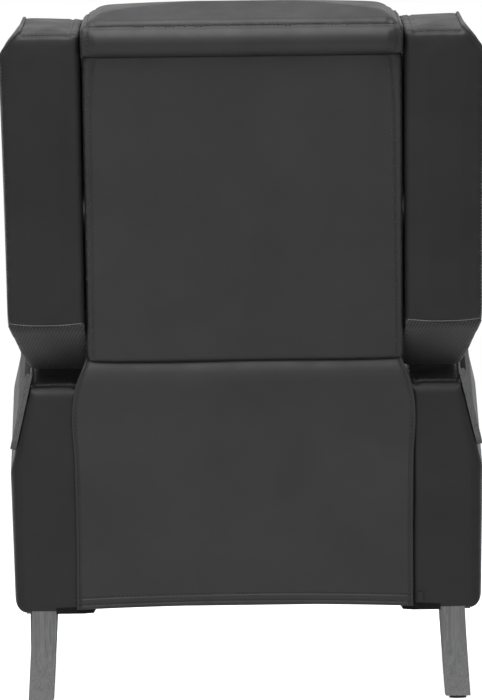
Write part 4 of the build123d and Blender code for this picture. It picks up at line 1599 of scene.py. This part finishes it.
@dataclass
class Apron(SubAssembly):
    """The leather apron that hangs behind the seat."""

    outline: tuple[Span, ...] = (
        (0.2533, 0.139), (0.2533, 0.250), (0.2552, 0.370), (0.2600, 0.425), (0.2560, 0.465),
        (0.2495, 0.485), (0.2385, 0.511), (0.2345, 0.522))
    skew: Span = (0.0050, 0.0030)  # how far it hangs to one side, at foot and top
    blur: tuple[float, ...] = (-0.018, -0.009, 0.0, 0.009, 0.018)  # softens the outline's corners
    arch: float = 0.005
    rear: float = 0.290
    stand: float = 0.0030  # how far its middle layer hangs behind the arms
    ripples: Span = (0.0009, 0.0008)
    first_ripple: Span = (5.1, 2.0)  # how fast it turns across and up
    second_ripple: Span = (2.2, 3.3)
    fullness: float = 0.0085
    full_reach: float = 0.036
    top_roll: float = 0.040
    roll_depth: float = 0.55  # share of the roll's length
    roll_turn: float = 0.92  # how much of a quarter turn it makes
    half_thick: float = 0.0013
    hem: float = 0.0055
    hem_thick: float = 0.0007
    hem_slope: float = 0.0024
    low_hems: Span = (0.0065, 0.0165)
    groove: Span = (0.0017, 0.0014)  # depth and width along the hems
    edge_round: float = 0.0016
    edge_thick: float = 0.35  # share of the thickness at the very edge
    aside: float = 0.0020  # from a hem's groove to its stitches
    thread_out: float = 0.002
    side_run: Span = (0.03, 0.98)  # share of the height that the side rows cover
    low_run: float = 0.97  # share of the half width that the bottom rows cover
    about: Span = (0.25, 0.367)  # half width and height, for the spacing near the hems
    columns: int = 150
    rows: int = 130

    def half_width(self, z: float) -> float:
        """Half of the apron's width at a height."""
        wide, high = zip(*self.outline)
        return float(np.interp(z, high, wide))

    def middle(self, u: float, v: float) -> tuple[Vector, float]:
        """A point of the apron's middle layer.

        Args:
            u: share of its half width, from -1 to 1.
            v: share of its height, from 0 to 1.

        Returns:
            The point, and half of the thickness there.
        """
        low, high = self.outline[0][1], self.outline[-1][1]
        foot = low + self.arch * (1 - u * u)
        z = foot + v * (high - foot)
        soft = sum(self.half_width(z + d) for d in self.blur) / len(self.blur)
        x = u * soft + float(np.interp(z, (low, high), self.skew))
        y = self.rear + SHIFT_Y + self.stand
        y += self.ripples[0] * math.sin(self.first_ripple[0] * u + self.first_ripple[1] * v)
        across, up = self.second_ripple
        y += self.ripples[1] * math.sin(up * v * math.pi + across * u)
        y += self.fullness * math.exp(-((z - high + self.top_roll) / self.full_reach) ** 2)
        roll = max(0.0, 1 - (high - z) / self.top_roll)
        y -= self.roll_depth * self.top_roll * (1 - math.sqrt(1 - self.roll_turn * roll * roll))
        side, rise = (1 - abs(u)) * soft, z - foot
        thick = self.half_thick
        deep, wide = self.groove
        for away, lines in ((side, (self.hem,)), (rise, self.low_hems)):
            within = (lines[-1] - away) / self.hem_slope + 0.5
            thick += self.hem_thick * min(1.0, max(0.0, within))
            for line in lines:
                thick -= deep * math.exp(-((away - line) / wide) ** 2)
        edge = max(0.0, min(side, rise, self.edge_round) / self.edge_round)
        thick *= self.edge_thick + (1 - self.edge_thick) * math.sqrt(edge)
        return Vector((x, y, z)), thick

    def build(self) -> None:
        """Build the sheet, its hem stitches and its bend."""
        us = self._spaced(self.columns, self.hem / self.about[0])
        vs = self._spaced_low(self.rows, self.low_hems[-1] / self.about[1])
        bm = bmesh.new()
        layers: dict[int, list[list[BMVert]]] = {1: [], -1: []}
        for v in vs:
            row = [self.middle(u, v) for u in us]
            for sign, layer in layers.items():
                layer.append([bm.verts.new(p + Vector((0, sign * t, 0))) for p, t in row])
        for sign, layer in layers.items():
            for low, high in zip(layer, layer[1:]):
                for i in range(len(us) - 1):
                    quad = (low[i], low[i + 1], high[i + 1], high[i])
                    bm.faces.new(quad if sign < 0 else quad[::-1])
        front, back = layers[-1], layers[1]
        rim = ([(i, 0) for i in range(len(vs))] + [(len(vs) - 1, j) for j in range(1, len(us))]
               + [(i, len(us) - 1) for i in range(len(vs) - 2, -1, -1)]
               + [(0, j) for j in range(len(us) - 2, 0, -1)])
        for (a, b), (c, d) in zip(rim, rim[1:] + rim[:1]):
            bm.faces.new((front[a][b], front[c][d], back[c][d], back[a][b]))
        bmesh.ops.recalc_face_normals(bm, faces=bm.faces)
        sheet = piece_from("apron_sheet", bm, self.finishes.leather)
        rows = self.sewing.stitches("apron_stitching", self.hem_lines(), sheet,
                                    self.finishes.thread)
        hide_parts("rear_apron")
        for piece in (sheet, rows):
            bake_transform(piece)
            self.made.append(piece)

    def hem_lines(self) -> list[Seam]:
        """Draw the hems' rows of stitches.

        Returns:
            Rows along the side and bottom hems, on the rear face.
        """
        found = []
        for sign in (-1, 1):
            move = Vector((-sign * (self.hem - self.aside), self.thread_out, 0))
            line = [self.middle(sign, v)[0] + move for v in np.linspace(*self.side_run, 60)]
            found.append(Seam(line[::sign]))
        for height in self.low_hems:
            move = Vector((0, self.thread_out, height - self.aside))
            spots = np.linspace(-self.low_run, self.low_run, 80)
            found.append(Seam([self.middle(u, 0.0)[0] + move for u in spots]))
        return found

    @staticmethod
    def _spaced(count: int, hem: float, fine: int = 14, reach: float = 2.6) -> list[float]:
        """Space the columns, closer together near both hems.

        Args:
            count: number of columns.
            hem: width of a hem, as a share of the half width.
            fine: number of columns near each hem.
            reach: how far those go, in widths of the hem.

        Returns:
            Shares from -1 to 1.
        """
        inner = 1 - reach * hem
        edge = [-1 + reach * hem * i / fine for i in range(fine)]
        count -= 2 * fine
        middle = [-inner + 2 * inner * i / count for i in range(count + 1)]
        return edge + middle + [-e for e in reversed(edge)]

    @staticmethod
    def _spaced_low(count: int, hem: float, fine: int = 22, reach: float = 1.4) -> list[float]:
        """Space the rows, closer together near the bottom hem.

        Args:
            count: number of rows.
            hem: height of the hem, as a share of the height.
            fine: number of rows near the hem.
            reach: how far those go, in heights of the hem.

        Returns:
            Shares from 0 to 1.
        """
        start = reach * hem
        count -= fine + 1
        return ([start * i / fine for i in range(fine)]
                + [start + (1 - start) * i / count for i in range(count + 1)])


@dataclass
class RigidParts(SubAssembly):
    """The frame, legs and mechanism, which keep their solids and get their finishes."""

    upright: tuple[str, ...] = ("wing_frames",)
    across: tuple[str, ...] = (
        "base_front_board", "back_middle_rail", "seat_front_board", "seat_rear_board",
        "footrest_board")
    forward: tuple[str, ...] = ("base_side_rails", "arm_frames", "seat_side_rails")
    legs: tuple[str, ...] = ("rear_leg_left", "rear_leg_right", "front_leg_left",
                             "front_leg_right")
    trims: tuple[str, ...] = ("arm_trim_left", "arm_trim_right")
    # back_stiles, back_top_rail and back_bottom_rail are frame parts given the black board finish:
    # painted shade in the gaps round the back panel.
    boards: tuple[str, ...] = ("base_runner_left", "base_runner_right", "back_stiles",
                               "back_top_rail", "back_bottom_rail", "base_rear_rail")
    straps: tuple[str, ...] = ("back_webbing", "seat_webbing")
    # wing_spacers are bare steel but take the black steel finish here: painted shade in the gap
    # between wing and panel.
    painted: tuple[str, ...] = (
        "seat_slide_channels", "back_brackets", "seat_drive_arms", "mechanism_plates",
        "footrest_a1_bars", "footrest_b1_bars", "footrest_a2_bars", "footrest_b2_bars",
        "footrest_brackets", "footrest_stays", "footrest_cross_tube", "wing_spacers")
    bare: tuple[str, ...] = ("footrest_guide_pins", "seat_pivot_pins")
    moulded: tuple[str, ...] = ("leg_glides", "seat_slide_blocks", "pivot_bushes", "apron_hook")

    def build(self) -> None:
        """Give every solid that stays its finish."""
        f = self.finishes
        for names, material in (
                (self.upright, f.timber[Grain.UPRIGHT]), (self.across, f.timber[Grain.ACROSS]),
                (self.forward, f.timber[Grain.FORWARD]), (self.legs, f.leg_wood),
                (self.trims, f.shaded_trim_wood), (self.boards, f.board), (self.straps, f.webbing),
                (self.painted, f.black_steel), (self.bare, f.bare_steel),
                (self.moulded, f.nylon)):
            for name in names:
                self._dress(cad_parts[name], material)

    def _dress(self, node: Object, material: Material) -> None:
        """Put a finish in every slot of a solid.

        Args:
            node: the solid.
            material: the finish.
        """
        if not node.material_slots:
            node.data.materials.append(material)
        for slot in node.material_slots:
            slot.material = material
        self.made.append(node)


def aimed(at: Point, to: Point) -> Matrix:
    """The place of a lamp or camera at one point that looks at another."""
    turn = (Vector(to) - Vector(at)).to_track_quat("-Z", "Y").to_matrix().to_4x4()
    return Matrix.Translation(at) @ turn


def looked_at(tree: NodeTree) -> NodeSocket:
    """Add a value that is one where something is looked at, and nought where it gives light.

    Args:
        tree: the nodes to add it to.

    Returns:
        One for camera, mirror and glass rays.
    """
    rays = tree.nodes.new("ShaderNodeLightPath")
    seen: NodeSocket = rays.outputs["Is Camera Ray"]
    for name in ("Is Glossy Ray", "Is Transmission Ray"):
        most = tree.nodes.new("ShaderNodeMath")
        most.operation = "MAXIMUM"
        tree.links.new(seen, most.inputs[0])
        tree.links.new(rays.outputs[name], most.inputs[1])
        seen = most.outputs[0]
    return seen


@dataclass(frozen=True)
class Softbox:
    """A soft lamp: its place, what it points at, its size and its power in watts."""

    name: str
    at: Point
    to: Point
    size: Span
    power: float

    def build(self) -> None:
        """Set the lamp up."""
        data = bpy.data.lights.new(self.name, "AREA")
        data.shape, data.size, data.size_y, data.energy = "RECTANGLE", *self.size, self.power
        new_object(self.name, data).matrix_world = aimed(self.at, self.to)


@dataclass
class Studio:
    """Camera, lamps, floor and white surround."""

    eye: Point = (0.0140, 5.91, 0.527)
    lens: float = 127.8
    sensor: float = 24.0
    far: float = 60.0
    roll: float = -0.72
    aim: Point = (0.0060, 0.0, 0.527)
    surround: float = 0.13
    floor_half: float = 14.0
    floor_tones: Span = (0.86, 0.9)
    floor_glow: float = 0.94
    floor_rough: float = 0.85
    lamps: tuple[Softbox, ...] = (
        Softbox("overhead_softbox", (0.25, 1.15, 3.1), (0, 0.25, 0.6), (2.4, 2.4), 120.0),
        Softbox("rear_softbox", (0.6, 4.8, 1.7), (0, 0.3, 0.6), (2.6, 2.2), 42.0))

    def build(self) -> None:
        """Set the studio up."""
        bpy.context.scene.view_settings.view_transform = "Standard"
        self._camera()
        for lamp in self.lamps:
            lamp.build()
        self._floor()
        self._world()

    def _camera(self) -> None:
        """The camera behind the chair, level and slightly rolled."""
        data = bpy.data.cameras.new("camera")
        data.sensor_fit = "VERTICAL"
        data.sensor_height = self.sensor
        data.lens = self.lens
        data.clip_end = self.far
        camera = new_object("camera", data)
        roll = Matrix.Rotation(math.radians(self.roll), 4, "Z")
        camera.matrix_world = aimed(self.eye, self.aim) @ roll
        bpy.context.scene.camera = camera

    def _floor(self) -> None:
        """The pale floor, which keeps the chair's shadow and fades to white in the view."""
        bm = bmesh.new()
        bmesh.ops.create_grid(bm, x_segments=4, y_segments=4, size=self.floor_half)
        floor = piece_from("floor", bm)
        w = Wiring("pale_floor")
        tones = tuple(zip(CLOUD, map(grey, self.floor_tones)))
        w.links.new(w.ramp(w.noise(w.place, 3.0, 2.0), tones), w.shader.inputs["Base Color"])
        w.shader.inputs["Roughness"].default_value = self.floor_rough
        seen = looked_at(w.material.node_tree)
        glow = w.add("Emission", {"Strength": w.product(seen, self.floor_glow)})
        lit = w.add("AddShader", {0: w.shader.outputs[0], 1: glow.outputs[0]})
        w.links.new(lit.outputs[0], w.nodes["Material Output"].inputs["Surface"])
        floor.data.materials.append(w.material)

    def _world(self) -> None:
        """The white surround, which lights the chair at a plain level."""
        world = bpy.data.worlds.new("white_surround")
        bpy.context.scene.world = world
        world.use_nodes = True
        nodes, links = world.node_tree.nodes, world.node_tree.links
        back = nodes["Background"]
        back.inputs["Color"].default_value = (1.0, 1.0, 1.0, 1.0)
        level = nodes.new("ShaderNodeMapRange")
        links.new(looked_at(world.node_tree), level.inputs["Value"])
        level.inputs["To Min"].default_value = self.surround
        level.inputs["To Max"].default_value = 1.0
        links.new(level.outputs["Result"], back.inputs["Strength"])


def main() -> None:
    """Build the chair, piece by piece, and set the studio up around it."""
    logging.basicConfig(level=logging.INFO, format="%(name)s: %(message)s")
    finishes = Finishes()
    Studio().build()
    for assembly in (RigidParts(finishes), Apron(finishes), BackPanel(finishes),
                     HeadRoll(finishes), Wings(finishes), Arms(finishes), Cushions(finishes)):
        assembly.build()
        for piece in assembly.made:
            LOG.info("%s: %s", type(assembly).__name__, piece.name)


if __name__ == "__main__":
    main()
